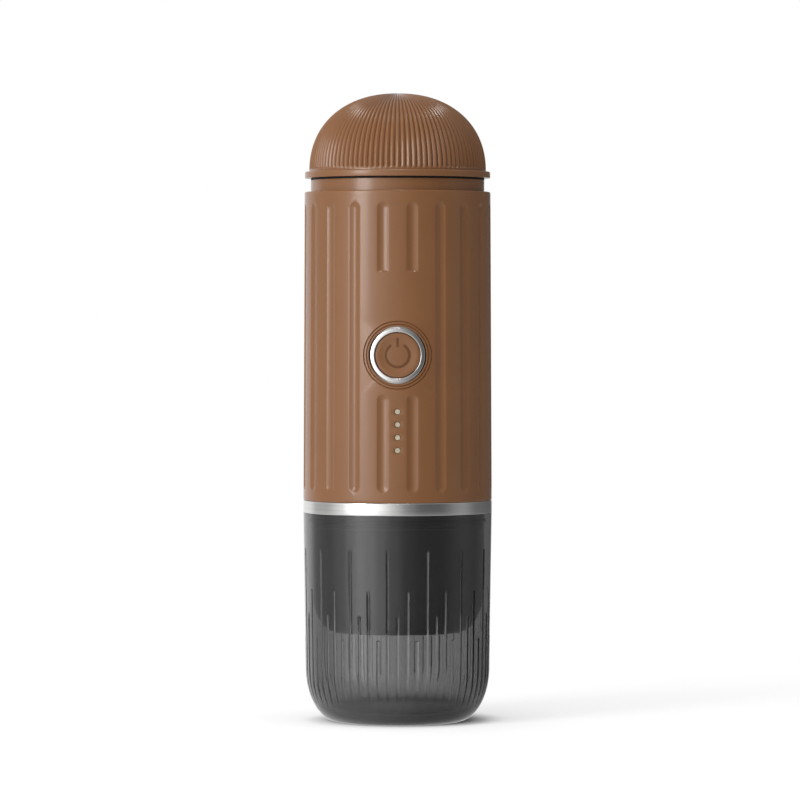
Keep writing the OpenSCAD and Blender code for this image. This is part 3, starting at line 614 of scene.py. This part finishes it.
def end_round(z):
    """How far the housing's side is rounded in near its lower and upper edge."""
    near = min(z - foot_z, top_z - z, EDGE_ROUND)
    return EDGE_ROUND - math.sqrt(EDGE_ROUND ** 2 - (EDGE_ROUND - near) ** 2)


def side_r(z):
    """Radius of the housing's side at a height."""
    return foot_r - HOUSING_DRAFT * (z - foot_z) / (top_z - foot_z) - end_round(z)


def groove_stretches(groove):
    """Lowest and highest place of a groove's round ends; the front pair breaks off around the button."""
    low = foot_z + GROOVE_LOW
    high = top_z - GROOVE_HIGH
    if groove in (-1, 0):
        return [(low, foot_z + FRONT_LOW_TOP), (foot_z + FRONT_HIGH_LOW, high)]
    if groove in (GROOVE_COUNT // 2 - 1, -GROOVE_COUNT // 2):
        return [(cover_high.z + BACK_GROOVE_GAP, high)]
    return [(low, high)]


def groove_depth(angle, z):
    """Depth of the housing's grooves: crisp lips and round ends, but square above the button."""
    step = 360 / GROOVE_COUNT
    wrapped = (angle + 180) % 360 - 180
    groove = math.floor(wrapped / step)
    across = math.radians(wrapped - (groove + 0.5) * step) * foot_r
    half = GROOVE_W / 2
    deepest = 0
    for low, high in groove_stretches(groove):
        square = low == foot_z + FRONT_HIGH_LOW
        past = max(0, 0 if square else low + half - z, z - high + half)
        away = math.hypot(across, past) / half
        run = min(1, max(0, (z - low) / GROOVE_SQUARE_END)) if square else 1
        channel = soft_floor(GROOVE_DEPTH * (1 - away ** GROOVE_POWER), GROOVE_LIP)
        deepest = max(deepest, run * channel)
    return deepest


def housing_angles():
    """Angles of the housing's columns, close together across each groove and wide between."""
    reach = math.degrees((GROOVE_W / 2 + GROOVE_MARGIN) / foot_r)
    step = 360 / GROOVE_COUNT
    land = step - 2 * reach
    angles = []
    for groove in range(GROOVE_COUNT):
        start = (groove + 0.5) * step - 180 - reach
        angles += [start + 2 * reach * i / GROOVE_COLUMNS for i in range(GROOVE_COLUMNS + 1)]
        angles += [start + 2 * reach + land * i / LAND_COLUMNS for i in range(1, LAND_COLUMNS)]
    return angles


def housing_heights():
    """Heights of the housing's rows, close together where a groove ends and around the indicators."""
    low = foot_z + GROOVE_LOW
    high = top_z - GROOVE_HIGH
    half = GROOVE_W / 2
    square_end = foot_z + FRONT_HIGH_LOW
    front_top = foot_z + FRONT_LOW_TOP
    back_low = cover_high.z + BACK_GROOVE_GAP
    fine = [(low, low + half), (high - half, high), (back_low, back_low + half),
            (front_top - half, front_top), (square_end, square_end + GROOVE_SQUARE_END)]
    fine += [(z - LED_PATCH, z + LED_PATCH) for z in led_heights]
    stops = {foot_z + EDGE_ROUND, top_z - EDGE_ROUND, button_z - BUTTON_PATCH, button_z + BUTTON_PATCH,
             cover_low.z - PORT_GAP, cover_high.z + PORT_GAP}
    for start, end in fine:
        stops |= {start, end}

    def spacing(start, end):
        middle = (start + end) / 2
        return FINE_ROWS if any(low < middle < high for low, high in fine) else WIDE_ROWS

    rows = spaced(sorted(stops), spacing)
    ends = [EDGE_ROUND * (1 - math.cos(math.radians(90 * i / END_ROWS))) for i in range(END_ROWS)]
    return [foot_z + end for end in ends] + rows + [top_z - end for end in reversed(ends)]


class Sheet:
    """Points on the housing's outside with their partners on its bore, and the faces between them."""

    def __init__(self):
        self.outer = []
        self.inner = []
        self.faces = []

    def add(self, outer, inner):
        self.outer.append(outer)
        self.inner.append(inner)
        return len(self.outer) - 1

    def piece(self, name):
        """The closed shell: the outside, the bore, and the walls where the sheet has an edge."""
        count = len(self.outer)
        edges = dict.fromkeys(edge for face in self.faces for edge in zip(face, face[1:] + face[:1]))
        walls = [(b, a, a + count, b + count) for a, b in edges if (b, a) not in edges]
        back = [tuple(corner + count for corner in reversed(face)) for face in self.faces]
        return mesh_piece(name, self.outer + self.inner, self.faces + back + walls)


def round_hole(sheet, loop, centre_z, rings):
    """Fills between a loop of the sheet's points and a round hole, ring by ring outwards."""
    turns = [math.atan2(sheet.outer[i].z - centre_z, sheet.outer[i].x) for i in loop]
    inside = None
    for radius, depth in rings:
        ring = []
        for turn in turns:
            x = radius * math.cos(turn)
            z = centre_z + radius * math.sin(turn)
            ring.append(sheet.add(on_front(x, z, side_r(z) - depth), on_front(x, z, bore_r)))
        if inside:
            join_loops(sheet, inside, ring)
        inside = ring
    join_loops(sheet, inside, loop)


def join_loops(sheet, inside, outside):
    """Faces between two loops of the same length, which run counterclockwise seen from the front."""
    for i in range(len(inside)):
        after = (i + 1) % len(inside)
        sheet.faces.append((inside[i], outside[i], outside[after], inside[after]))


def hole_rings(hole_r, lines=()):
    """Radius and depth of the rings round a hole: a rounded edge, then a shallow cut for each line."""
    middle = HOLE_ROUND_MIDDLE * HOLE_ROUND
    shoulder = LINE_SHOULDER * LINE_DEPTH
    rings = [(hole_r, HOLE_ROUND), (hole_r + middle, middle), (hole_r + HOLE_ROUND, 0)]
    for line in lines:
        rings += [(line - LINE_W / 2, 0), (line - LINE_W / 4, shoulder), (line, LINE_DEPTH),
                  (line + LINE_W / 4, shoulder), (line + LINE_W / 2, 0)]
    return rings


def on_housing(angle, z):
    """A point on the housing's grooved outside."""
    return around(side_r(z) - groove_depth(angle, z), angle, z)


def behind_housing(angle, z, window):
    """A point's partner on the bore.

    Near the port it lies straight behind the point, so the window's sides are parallel.
    """
    off = (angle + 360) % 360 - 180
    nearness = min(1, 2 - abs(off) / window)
    if nearness <= 0:
        return around(bore_r, angle, z)
    straight = math.degrees(math.asin(side_r(z) * math.sin(math.radians(off)) / bore_r))
    return around(bore_r, angle + nearness * (straight - off), z)


def outer_housing():
    """Grooved shell with holes for the bezel, the indicators and the port."""
    angles = housing_angles()
    heights = housing_heights()
    land = GROOVE_COLUMNS + LAND_COLUMNS
    middle = len(angles) // 2
    led_span = (middle - LAND_COLUMNS, middle)
    button_span = (led_span[0] - land, led_span[1] + land)
    holes = [(*button_span, button_z, BUTTON_PATCH, hole_rings(bezel_r + HOLE_GAP, LINE_RADII))]
    holes += [(*led_span, z, LED_PATCH, hole_rings(led_r + LED_GAP)) for z in led_heights]
    window = math.degrees(math.asin((cover_high.x + PORT_GAP) / foot_r))
    sheet = Sheet()
    grid = [[sheet.add(on_housing(angle, z), behind_housing(angle, z, window)) for angle in angles]
            for z in heights]

    def open_cell(column, z):
        angle = angles[column] + INTO_COLUMN
        beside_port = cover_low.z - PORT_GAP < z < cover_high.z + PORT_GAP
        if beside_port and abs((angle + 360) % 360 - 180) < window:
            return True
        return any(first <= column < last and abs(z - hole_z) < reach
                   for first, last, hole_z, reach, _ in holes)

    for row in range(len(heights) - 1):
        z = (heights[row] + heights[row + 1]) / 2
        for column in range(len(angles)):
            after = (column + 1) % len(angles)
            if not open_cell(column, z):
                sheet.faces.append((grid[row][column], grid[row][after],
                                    grid[row + 1][after], grid[row + 1][column]))
    for first, last, hole_z, reach, rings in holes:
        rows = [i for i, z in enumerate(heights) if abs(z - hole_z) < reach + TOUCH]
        bottom = grid[rows[0]][first:last]
        right = [grid[row][last] for row in rows[:-1]]
        top = grid[rows[-1]][last:first:-1]
        left = [grid[row][first] for row in reversed(rows[1:])]
        round_hole(sheet, bottom + right + top + left, hole_z, rings)
    piece = sheet.piece("housing_shell")
    dress(piece, MATERIALS["brown_plastic"], "main", "brown_plastic", "outer_housing")


# Lid and neck

def dome_outline(width, height, steps):
    """A quarter of the dome's outline, from the flange to the axis, crowded near the flange."""
    base = dome_low.z + FLANGE_H
    points = []
    for i in range(steps):
        turn = math.radians(90 * (i / steps) ** DOME_CROWDING)
        points.append((width * math.cos(turn) ** (2 / DOME_FULLNESS),
                       base + height * math.sin(turn) ** (2 / DOME_FULLNESS)))
    return points + [(0, base + height)]


def rib_depth(angle, radius, rise):
    """Depth below the ribs' crests: flat flanks and steep valleys, all thinning out towards the top."""
    pitch = 2 * math.pi * radius / RIB_COUNT
    place = (angle - RIB_PHASE) * RIB_COUNT / 360
    away = 2 * abs(place - round(place))
    run_in = min(1, max(0, (rise - RIB_LOW) / RIB_RUN_IN))
    flank = RIB_SHARE * (math.hypot(away, RIB_CREST) - RIB_CREST)
    valley = VALLEY_SHARE * max(0, away - VALLEY_FROM) ** 2
    return pitch * (flank + valley) * run_in


def dome_cover():
    """Ribbed dome on a rounded flange, hollow underneath."""
    flange_r = dome_high.x
    base = dome_low.z + FLANGE_H
    dome_r = flange_r - DOME_STEP
    height = dome_high.z - base
    inner = dome_outline(dome_r - DOME_WALL, height - DOME_WALL, DOME_INNER_STEPS)[::-1]
    low_corner = (flange_r - SEAM_ROUND, dome_low.z + SEAM_ROUND)
    high_corner = (flange_r - EDGE_ROUND, base - EDGE_ROUND)
    low_edge = arc_points(low_corner, SEAM_ROUND, -90, 0, SEAM_STEPS)
    high_edge = arc_points(high_corner, EDGE_ROUND, 0, 90, EDGE_STEPS)
    flange = [(dome_r - DOME_WALL, dome_low.z)] + low_edge + high_edge
    first = len(inner) + len(flange)

    def depth(angle, radius, z, index):
        return rib_depth(angle, radius, z - base) if index >= first else 0

    outline = inner + flange + dome_outline(dome_r, height, DOME_STEPS)
    piece = turned("ribbed_dome", outline, even_angles(RIB_COUNT * RIB_COLUMNS), depth)
    dress(piece, MATERIALS["brown_plastic"], "lid", "brown_plastic", "dome_cover")


def neck_collar():
    """Collar in the housing's mouth, with a seat for the tank's rim."""
    rim_r = size_of("water_tank")[1].x + BORE_GAP
    inner_r = rim_r - TANK_RIM
    seat_z = collar_high.z - TANK_RIM_H
    corner = (collar_high.x - SEAM_ROUND, collar_high.z - SEAM_ROUND)
    edge = arc_points(corner, SEAM_ROUND, 0, 90, SEAM_STEPS)
    outline = [(inner_r, collar_low.z), (collar_high.x, collar_low.z)] + edge
    outline += [(rim_r, collar_high.z), (rim_r, seat_z), (inner_r, seat_z)]
    piece = turned("tank_collar", outline, even_angles(ROUND_COLUMNS))
    dress(piece, MATERIALS["brown_plastic"], "main", "brown_plastic", "neck_collar")


# Ring, cup and capsule holder

def trim_ring():
    """Turned metal ring between the housing and the cup."""
    inner_r = bore_r - HOLE_GAP
    low = arc_points((ring_r - LOW_ROUND, ring_low.z + LOW_ROUND), LOW_ROUND, -90, 0, RING_STEPS)
    high = arc_points((ring_r - LOW_ROUND, ring_high.z - LOW_ROUND), LOW_ROUND, 0, 90, RING_STEPS)
    outline = [(inner_r, ring_low.z)] + low + high + [(inner_r, ring_high.z)]
    piece = turned("metal_ring", outline, even_angles(ROUND_COLUMNS))
    dress(piece, MATERIALS["trim_metal"], "main", "trim_metal", "trim_ring")


def foot_outline(base_r, low, width, height, steps):
    """A rounded foot, from a flat base out to an upright side."""
    turns = [math.radians(90 * i / steps) for i in range(steps + 1)]
    return [(base_r + width * math.sin(t), low + height * (1 - math.cos(t))) for t in turns]


def flute_depth(angle, radius, z):
    """Depth of the fine flutes on the cup's outside."""
    step = 360 / FLUTE_COUNT
    flute = round(angle / step)
    top = FLUTE_TOPS[flute % len(FLUTE_TOPS)]
    across = math.radians(angle - flute * step) * radius / (FLUTE_W / 2)
    run = min(1, (top - z) / FLUTE_TIP, (z - FLUTE_LOW) / FLUTE_FADE)
    return soft_floor(FLUTE_DEPTH * (run - across * across), FLUTE_SOFT)


def cup_angles():
    """Angles of the cup's columns, close together across each flute."""
    step = 360 / FLUTE_COUNT
    reach = math.degrees(FLUTE_MARGIN * FLUTE_W / 2 / ring_r)
    land = step - 2 * reach
    angles = []
    for flute in range(FLUTE_COUNT):
        start = flute * step - reach
        end = start + 2 * reach
        angles += [start + 2 * reach * i / FLUTE_COLUMNS for i in range(FLUTE_COLUMNS + 1)]
        angles += [end + land * i / FLUTE_LAND_COLUMNS for i in range(1, FLUTE_LAND_COLUMNS)]
    return angles


def cup_side():
    """Heights up the cup's side, close together where flutes end."""
    stops = [CUP_FOOT_H]
    for top in sorted(FLUTE_TOPS):
        stops += [top - 2 * FLUTE_TIP, top + FLUTE_TIP]
    stops += [cup_high.z - 3 * CUP_RIM_ROUND, cup_high.z - CUP_RIM_ROUND]

    def spacing(low, high):
        return FLUTE_TIP / FLUTE_TIP_ROWS if high - low < 4 * FLUTE_TIP else CUP_ROWS

    return spaced(stops, spacing)


def cup():
    """Smoke-tinted cup with a rounded foot and flutes of four lengths."""
    foot_top_r = ring_r - CUP_DRAFT
    base_r = foot_top_r - CUP_FOOT_W
    lean = CUP_DRAFT / (cup_high.z - CUP_FOOT_H)
    base = [(base_r * share, 0) for share in CUP_BASE_SHARES]
    foot = foot_outline(base_r, 0, CUP_FOOT_W, CUP_FOOT_H, CUP_FOOT_STEPS)
    side = [(foot_top_r + lean * (z - CUP_FOOT_H), z) for z in cup_side()[1:]]
    rim_corner = (ring_r - CUP_RIM_ROUND, cup_high.z - CUP_RIM_ROUND)
    rim = arc_points(rim_corner, CUP_RIM_ROUND, 0, 90, SEAM_STEPS)
    inner_w = CUP_FOOT_W - CUP_WALL
    inner = foot_outline(base_r, CUP_FLOOR, inner_w, CUP_FOOT_H - CUP_FLOOR, CUP_INNER_STEPS)
    floor = [(base_r * share, CUP_FLOOR) for share in reversed(CUP_BASE_SHARES)]
    outside = base + foot + side
    outline = outside + rim[1:] + [(ring_r - CUP_WALL, cup_high.z)] + inner[::-1] + floor

    def depth(angle, radius, z, index):
        return flute_depth(angle, radius, z) if index < len(outside) else 0

    piece = turned("fluted_cup", outline, cup_angles(), depth)
    dress(piece, MATERIALS["smoke_plastic"], "cup", "smoke_plastic", "cup")


def capsule_holder():
    """Dark barrel that fills the cup, with a rounded foot, a hole for the nozzle and a neck on top."""
    wide_r = holder_high.x
    wide_top = size_of("brew_head")[0].z - HOLDER_GAP
    base_r = wide_r - HOLDER_FOOT_W
    neck_bore_r = HOLDER_NECK_R - HOLDER_WALL
    nozzle_r = NOZZLE_R + HOLE_GAP
    floor_z = holder_low.z + HOLDER_FLOOR
    foot_w = HOLDER_FOOT_W + HOLDER_SWELL
    bore_h = HOLDER_FOOT_H - HOLDER_FLOOR
    foot = foot_outline(base_r, holder_low.z, foot_w, HOLDER_FOOT_H, HOLDER_FOOT_STEPS)
    bore = foot_outline(base_r, floor_z, neck_bore_r - base_r, bore_h, HOLDER_BORE_STEPS)[::-1]
    outline = [(nozzle_r, holder_low.z)] + foot
    outline += [(wide_r + HOLDER_SWELL, wide_top), (HOLDER_NECK_R, wide_top)]
    outline += [(HOLDER_NECK_R, holder_high.z), (neck_bore_r, holder_high.z)]
    outline += bore + [(nozzle_r, floor_z)]
    piece = turned("capsule_barrel", outline, even_angles(ROUND_COLUMNS))
    dress(piece, MATERIALS["dark_plastic"], "capsule_holder", "dark_plastic", "capsule_holder")


# Button, bezel and indicators

def front_rings(name, centre_z, rings):
    """A piece round an axis that points to the front, from rings of (radius, reach, bent).

    Reach is the distance in front of the upright axis. A bent ring follows a cylinder of that radius.
    A list that starts and ends at radius 0 is closed there, and any other is closed end to end.
    """
    points = []
    loops = []
    for radius, reach, bent in rings:
        if radius == 0:
            loops.append([len(points)] * FRONT_COLUMNS)
            points.append(Vector((0, -reach, centre_z)))
            continue
        loops.append(range(len(points), len(points) + FRONT_COLUMNS))
        for i in range(FRONT_COLUMNS):
            turn = 2 * math.pi * i / FRONT_COLUMNS
            x = radius * math.sin(turn)
            z = centre_z + radius * math.cos(turn)
            points.append(on_front(x, z, reach) if bent else Vector((x, -reach, z)))
    return mesh_piece(name, points, ring_faces(loops, closed=rings[0][0] > 0))


def button_bezel():
    """Metal ring that follows the housing's curve, with rounded edges and a lower step round it."""
    inner_r = bezel_r - BEZEL_W
    face_r = bezel_r - BEZEL_INSET
    step = bezel_face_r - BEZEL_STEP
    back = -bezel_high.y
    edge_reach = bezel_face_r - BEZEL_ROUND
    outer_edge = arc_points((face_r - BEZEL_ROUND, edge_reach), BEZEL_ROUND, 0, 90, EDGE_STEPS)
    inner_edge = arc_points((inner_r + BEZEL_ROUND, edge_reach), BEZEL_ROUND, 90, 180, EDGE_STEPS)
    front = [(bezel_r, step), (face_r, step)] + outer_edge + inner_edge
    face = [(radius, reach, True) for radius, reach in front]
    rings = [(bezel_r, back, False)] + face + [(inner_r, back, False)]
    piece = front_rings("bezel_ring", button_z, rings)
    dress(piece, MATERIALS["bezel_metal"], "main", "bezel_metal", "button_bezel")


def button_surface(radius):
    """Reach of the button's dished face from the upright axis, at a radius from its middle."""
    share = radius / (button_r - BUTTON_ROUND)
    up = min(1, max(0, (share - DISH_FLAT) / (1 - DISH_FLAT)))
    return button_face_r - BUTTON_DISH * (1 - up * up * (3 - 2 * up))


def power_button():
    """Dished button on its flange, with a stem that meets the switch."""
    back = -button_high.y
    flange_back = back + STEM_L
    flange_front = flange_back + BUTTON_FLANGE
    flange_r = (button_high.z - button_low.z) / 2
    rim = button_r - BUTTON_ROUND
    radii = [rim * i / BUTTON_STEPS for i in range(BUTTON_STEPS + 1)]
    face = [(radius, button_surface(radius), True) for radius in radii]
    edge = arc_points((rim, button_face_r - BUTTON_ROUND), BUTTON_ROUND, 90, 0, EDGE_STEPS)
    face += [(radius, reach, True) for radius, reach in edge[1:]]
    behind = [(button_r, flange_front, False), (flange_r, flange_front, False),
              (flange_r, flange_back, False), (STEM_R, flange_back, False),
              (STEM_R, back, False), (0, back, False)]
    piece = front_rings("dished_button", button_z, face + behind)
    dress(piece, MATERIALS["brown_plastic"], "power_button", "brown_plastic", "power_button")


def sign_strip(points, faces, lefts, rights):
    """Adds a thin bar that lies on the button's face between two rows of (across, up) points."""
    loops = []
    for left, right in zip(lefts, rights):
        corners = ((left, -SIGN_DEPTH), (right, -SIGN_DEPTH), (right, SIGN_LIFT), (left, SIGN_LIFT))
        loops.append(range(len(points), len(points) + len(corners)))
        for (x, up), lift in corners:
            points.append(on_front(x, button_z + up, button_surface(math.hypot(x, up)) + lift))
    faces += ring_faces(loops, closed=False) + [tuple(loops[0]), tuple(loops[-1])]


def power_sign():
    """Inlaid power sign: an arc that is open at the top and an upright bar."""
    points = []
    faces = []
    radius = SIGN_D / 2
    turn_step = (360 - SIGN_OPENING) / SIGN_ARC_STEPS
    turns = [math.radians(SIGN_OPENING / 2 + turn_step * i) for i in range(SIGN_ARC_STEPS + 1)]

    def arc(r):
        return [(r * math.sin(t), r * math.cos(t)) for t in turns]

    sign_strip(points, faces, arc(radius - SIGN_LINE), arc(radius))
    ups = [SIGN_BAR_UP + SIGN_BAR_L * i / SIGN_BAR_STEPS for i in range(SIGN_BAR_STEPS + 1)]
    half = SIGN_LINE / 2
    sign_strip(points, faces, [(-half, up) for up in ups], [(half, up) for up in ups])
    piece = mesh_piece("power_symbol", points, faces)
    dress(piece, MATERIALS["sign_ink"], "power_button", "sign_ink", "power_sign")


# Springs inside the pump

def wire_ring(middle, coil_r, wire, turn, height):
    """Points round a spring's wire, where the coil has made a turn in radians."""
    points = []
    for side in range(SPRING_SIDES):
        lean = 2 * math.pi * side / SPRING_SIDES
        radius = coil_r + wire / 2 * math.cos(lean)
        points.append(Vector((middle.x + radius * math.cos(turn), middle.y + radius * math.sin(turn),
                              height + wire / 2 * math.sin(lean))))
    return points


def wound_spring(node, wire, turns):
    """A spring in its node's room, wound evenly from the room's bottom to its top."""
    low, high = size_of(node)
    middle = (low + high) / 2
    coil_r = (high.x - low.x - wire) / 2
    length = high.z - low.z - wire
    steps = turns * SPRING_RINGS
    points = []
    loops = []
    for i in range(steps + 1):
        loops.append(range(len(points), len(points) + SPRING_SIDES))
        height = low.z + wire / 2 + length * i / steps
        points += wire_ring(middle, coil_r, wire, 2 * math.pi * i / SPRING_RINGS, height)
    faces = ring_faces(loops, closed=False) + [tuple(loops[0]), tuple(loops[-1])]
    piece = mesh_piece("wound_" + node, points, faces, SPRING_SHARP_EDGE)
    piece.data.materials.append(MATERIALS["steel"])
    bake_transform(piece)
    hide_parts(node)


def springs():
    """The two springs on the pump's plunger and the one under the valve's ball."""
    wound_spring("return_spring", PUMP_WIRE, PUMP_TURNS)
    wound_spring("buffer_spring", PUMP_WIRE, PUMP_TURNS)
    wound_spring("valve_spring", VALVE_WIRE, VALVE_TURNS)


# Pieces carried over from the frame

def dress_nodes():
    """Gives every node that still shows its own look, or else the material of its slot."""
    for part in frame["record"]["subparts"]:
        node = frame["nodes"][part["node"]]
        if not node.hide_render:
            node.data.materials.clear()
            look = NODE_LOOKS.get(part["node"], part["material_slot"])
            node.data.materials.append(MATERIALS[look])


# Studio

def add_lamp(name, place, size, radiance):
    """A soft rectangular lamp of a radiance, facing the middle of the object."""
    lamp = bpy.data.lights.new(name, "AREA")
    lamp.shape = "RECTANGLE"
    lamp.size, lamp.size_y = size
    lamp.energy = radiance * math.pi * lamp.size * lamp.size_y
    stand = bpy.data.objects.new(name, lamp)
    stand.location = lamp_place(*place)
    stand.rotation_euler = (Vector(MIDDLE) - stand.location).to_track_quat("-Z", "Y").to_euler()
    stand.visible_camera = False
    bpy.context.scene.collection.objects.link(stand)


def lamp_place(azimuth, elevation, distance):
    """A place at a distance from the object's middle, at an angle from the front and above the level."""
    turn = math.radians(azimuth)
    rise = math.radians(elevation)
    return (distance * math.sin(turn) * math.cos(rise), -distance * math.cos(turn) * math.cos(rise),
            MIDDLE[2] + distance * math.sin(rise))


def add_lamps():
    """A tall lamp on the left for the highlight, and a small one above the dome."""
    add_lamp("key", KEY_PLACE, KEY_SIZE, KEY_RADIANCE)
    add_lamp("top", TOP_PLACE, TOP_SIZE, TOP_RADIANCE)


def side_levels(nodes, turn):
    """The level of the light from the sides, at a turn from the front."""
    made = nodes.node("ShaderNodeValToRGB")
    made.color_ramp.interpolation = "EASE"
    brightest = max(level for _, level in WORLD_LEVELS)
    stops = made.color_ramp.elements
    for angle, level in WORLD_LEVELS[1:-1]:
        shade = level / brightest
        stops.new((angle + 180) / 360).color = (shade, shade, shade, 1)
    for stop, (_, level) in ((stops[0], WORLD_LEVELS[0]), (stops[-1], WORLD_LEVELS[-1])):
        shade = level / brightest
        stop.color = (shade, shade, shade, 1)
    nodes.link(nodes.ranged(turn, -math.pi, math.pi, 0, 1), made.inputs["Fac"])
    return nodes.ranged(made.outputs["Color"], 0, 1, 0, brightest)


def add_world():
    """Light that changes with the angle from the front, and white where it is seen as the backdrop."""
    world = bpy.data.worlds.new("studio")
    world.use_nodes = True
    bpy.context.scene.world = world
    nodes = Nodes(world.node_tree)
    place = nodes.node("ShaderNodeTexCoord")
    axes = nodes.node("ShaderNodeSeparateXYZ")
    nodes.link(place.outputs["Generated"], axes.inputs["Vector"])
    x, y, z = (axes.outputs[axis] for axis in "XYZ")
    sides = side_levels(nodes, nodes.maths("ARCTAN2", x, nodes.ranged(y, -1, 1, 1, -1)))
    lower = nodes.node("ShaderNodeMix")
    nodes.link(nodes.ranged(z, WORLD_LOW_FROM, WORLD_LOW_FULL, 0, 1), lower.inputs["Factor"])
    nodes.link(sides, lower.inputs["A"])
    nodes.link(nodes.ranged(x, *WORLD_LOW_TURN, *WORLD_LOW), lower.inputs["B"])
    upper = nodes.node("ShaderNodeMix", B=WORLD_TOP)
    nodes.link(nodes.ranged(z, WORLD_TOP_FROM, WORLD_TOP_FULL, 0, 1), upper.inputs["Factor"])
    nodes.link(lower.outputs["Result"], upper.inputs["A"])
    rays = nodes.node("ShaderNodeLightPath").outputs
    mirrored = nodes.maths("MAXIMUM", rays["Is Glossy Ray"], rays["Is Transmission Ray"])
    backdrop = nodes.maths("MULTIPLY", mirrored, nodes.ranged(y, BACKDROP_FROM, BACKDROP_FULL, 0, 1))
    shown = nodes.maths("MAXIMUM", rays["Is Camera Ray"], backdrop)
    light = world.node_tree.nodes["Background"]
    light.inputs["Color"].default_value = (1, 1, 1, 1)
    nodes.link(nodes.maths("MAXIMUM", upper.outputs["Result"], shown), light.inputs["Strength"])


def add_floor():
    """Pale floor that keeps the object's shadow, with a painted shadow added near the base, and runs out
    to white away from it.
    """
    mesh = bpy.data.meshes.new("floor")
    half = FLOOR_SIZE / 2
    corners = [(x * half, y * half, FLOOR_Z) for x, y in ((-1, -1), (1, -1), (1, 1), (-1, 1))]
    mesh.from_pydata(corners, [], [(0, 1, 2, 3)])
    floor = bpy.data.objects.new("floor", mesh)
    bpy.context.scene.collection.objects.link(floor)
    mesh.materials.append(floor_material())
    floor.visible_glossy = False


def floor_material():
    """Matte white, lifted by a glow for camera and transmission rays except in a painted shadow round a
    point off to the right and back of the base, and plain white further away.
    """
    material = bpy.data.materials.new("floor_white")
    material.use_nodes = True
    material.node_tree.nodes.clear()
    nodes = Nodes(material.node_tree)
    place = nodes.node("ShaderNodeTexCoord").outputs["Object"]

    def distance(point):
        made = nodes.node("ShaderNodeVectorMath")
        made.operation = "DISTANCE"
        made.inputs[1].default_value = point
        nodes.link(place, made.inputs[0])
        return made.outputs["Value"]

    rays = nodes.node("ShaderNodeLightPath").outputs
    seen = nodes.maths("MAXIMUM", rays["Is Camera Ray"], rays["Is Transmission Ray"])
    colour = (FLOOR_WHITE, FLOOR_WHITE, FLOOR_WHITE, 1)
    matte = nodes.node("ShaderNodeBsdfDiffuse", Color=colour).outputs["BSDF"]
    lift = nodes.node("ShaderNodeEmission")
    # Painted shadow: the glow fades out towards a point off to the right and back of the base, darkening
    # the floor where the shadow falls
    lift_outside_painted_shadow = nodes.ranged(distance(PAINTED_SHADOW_MIDDLE), *PAINTED_SHADOW_REACH, 0, FLOOR_LIFT, "SMOOTHSTEP")
    nodes.link(lift_outside_painted_shadow, lift.inputs["Strength"])
    near = nodes.node("ShaderNodeAddShader")
    nodes.link(matte, near.inputs[0])
    nodes.link(lift.outputs["Emission"], near.inputs[1])
    lifted = nodes.mixed(seen, matte, near.outputs["Shader"])
    white = nodes.node("ShaderNodeEmission").outputs["Emission"]
    fade = nodes.ranged(distance((0, 0, 0)), *FLOOR_FADE, 0, 1, "SMOOTHSTEP")
    faded = nodes.mixed(nodes.maths("MULTIPLY", fade, seen), lifted, white)
    output = nodes.node("ShaderNodeOutputMaterial")
    nodes.link(faded, output.inputs["Surface"])
    return material


def add_camera():
    """Long lens a little above the object's middle, looking slightly down."""
    lens_data = bpy.data.cameras.new("camera")
    lens_data.sensor_width = CAMERA_SENSOR
    lens_data.lens = CAMERA_LENS
    camera = bpy.data.objects.new("camera", lens_data)
    camera.location = CAMERA_PLACE
    camera.rotation_euler = (math.radians(90 - CAMERA_DIP), 0, 0)
    bpy.context.scene.collection.objects.link(camera)
    bpy.context.scene.camera = camera


def main():
    """Builds the pieces, the studio and the camera."""
    for make in (outer_housing, dome_cover, neck_collar, trim_ring, cup, capsule_holder, button_bezel,
                 power_button, power_sign, springs):
        make()
    dress_nodes()
    add_floor()
    add_world()
    add_lamps()
    add_camera()
    bpy.context.scene.view_settings.view_transform = "Standard"


main()
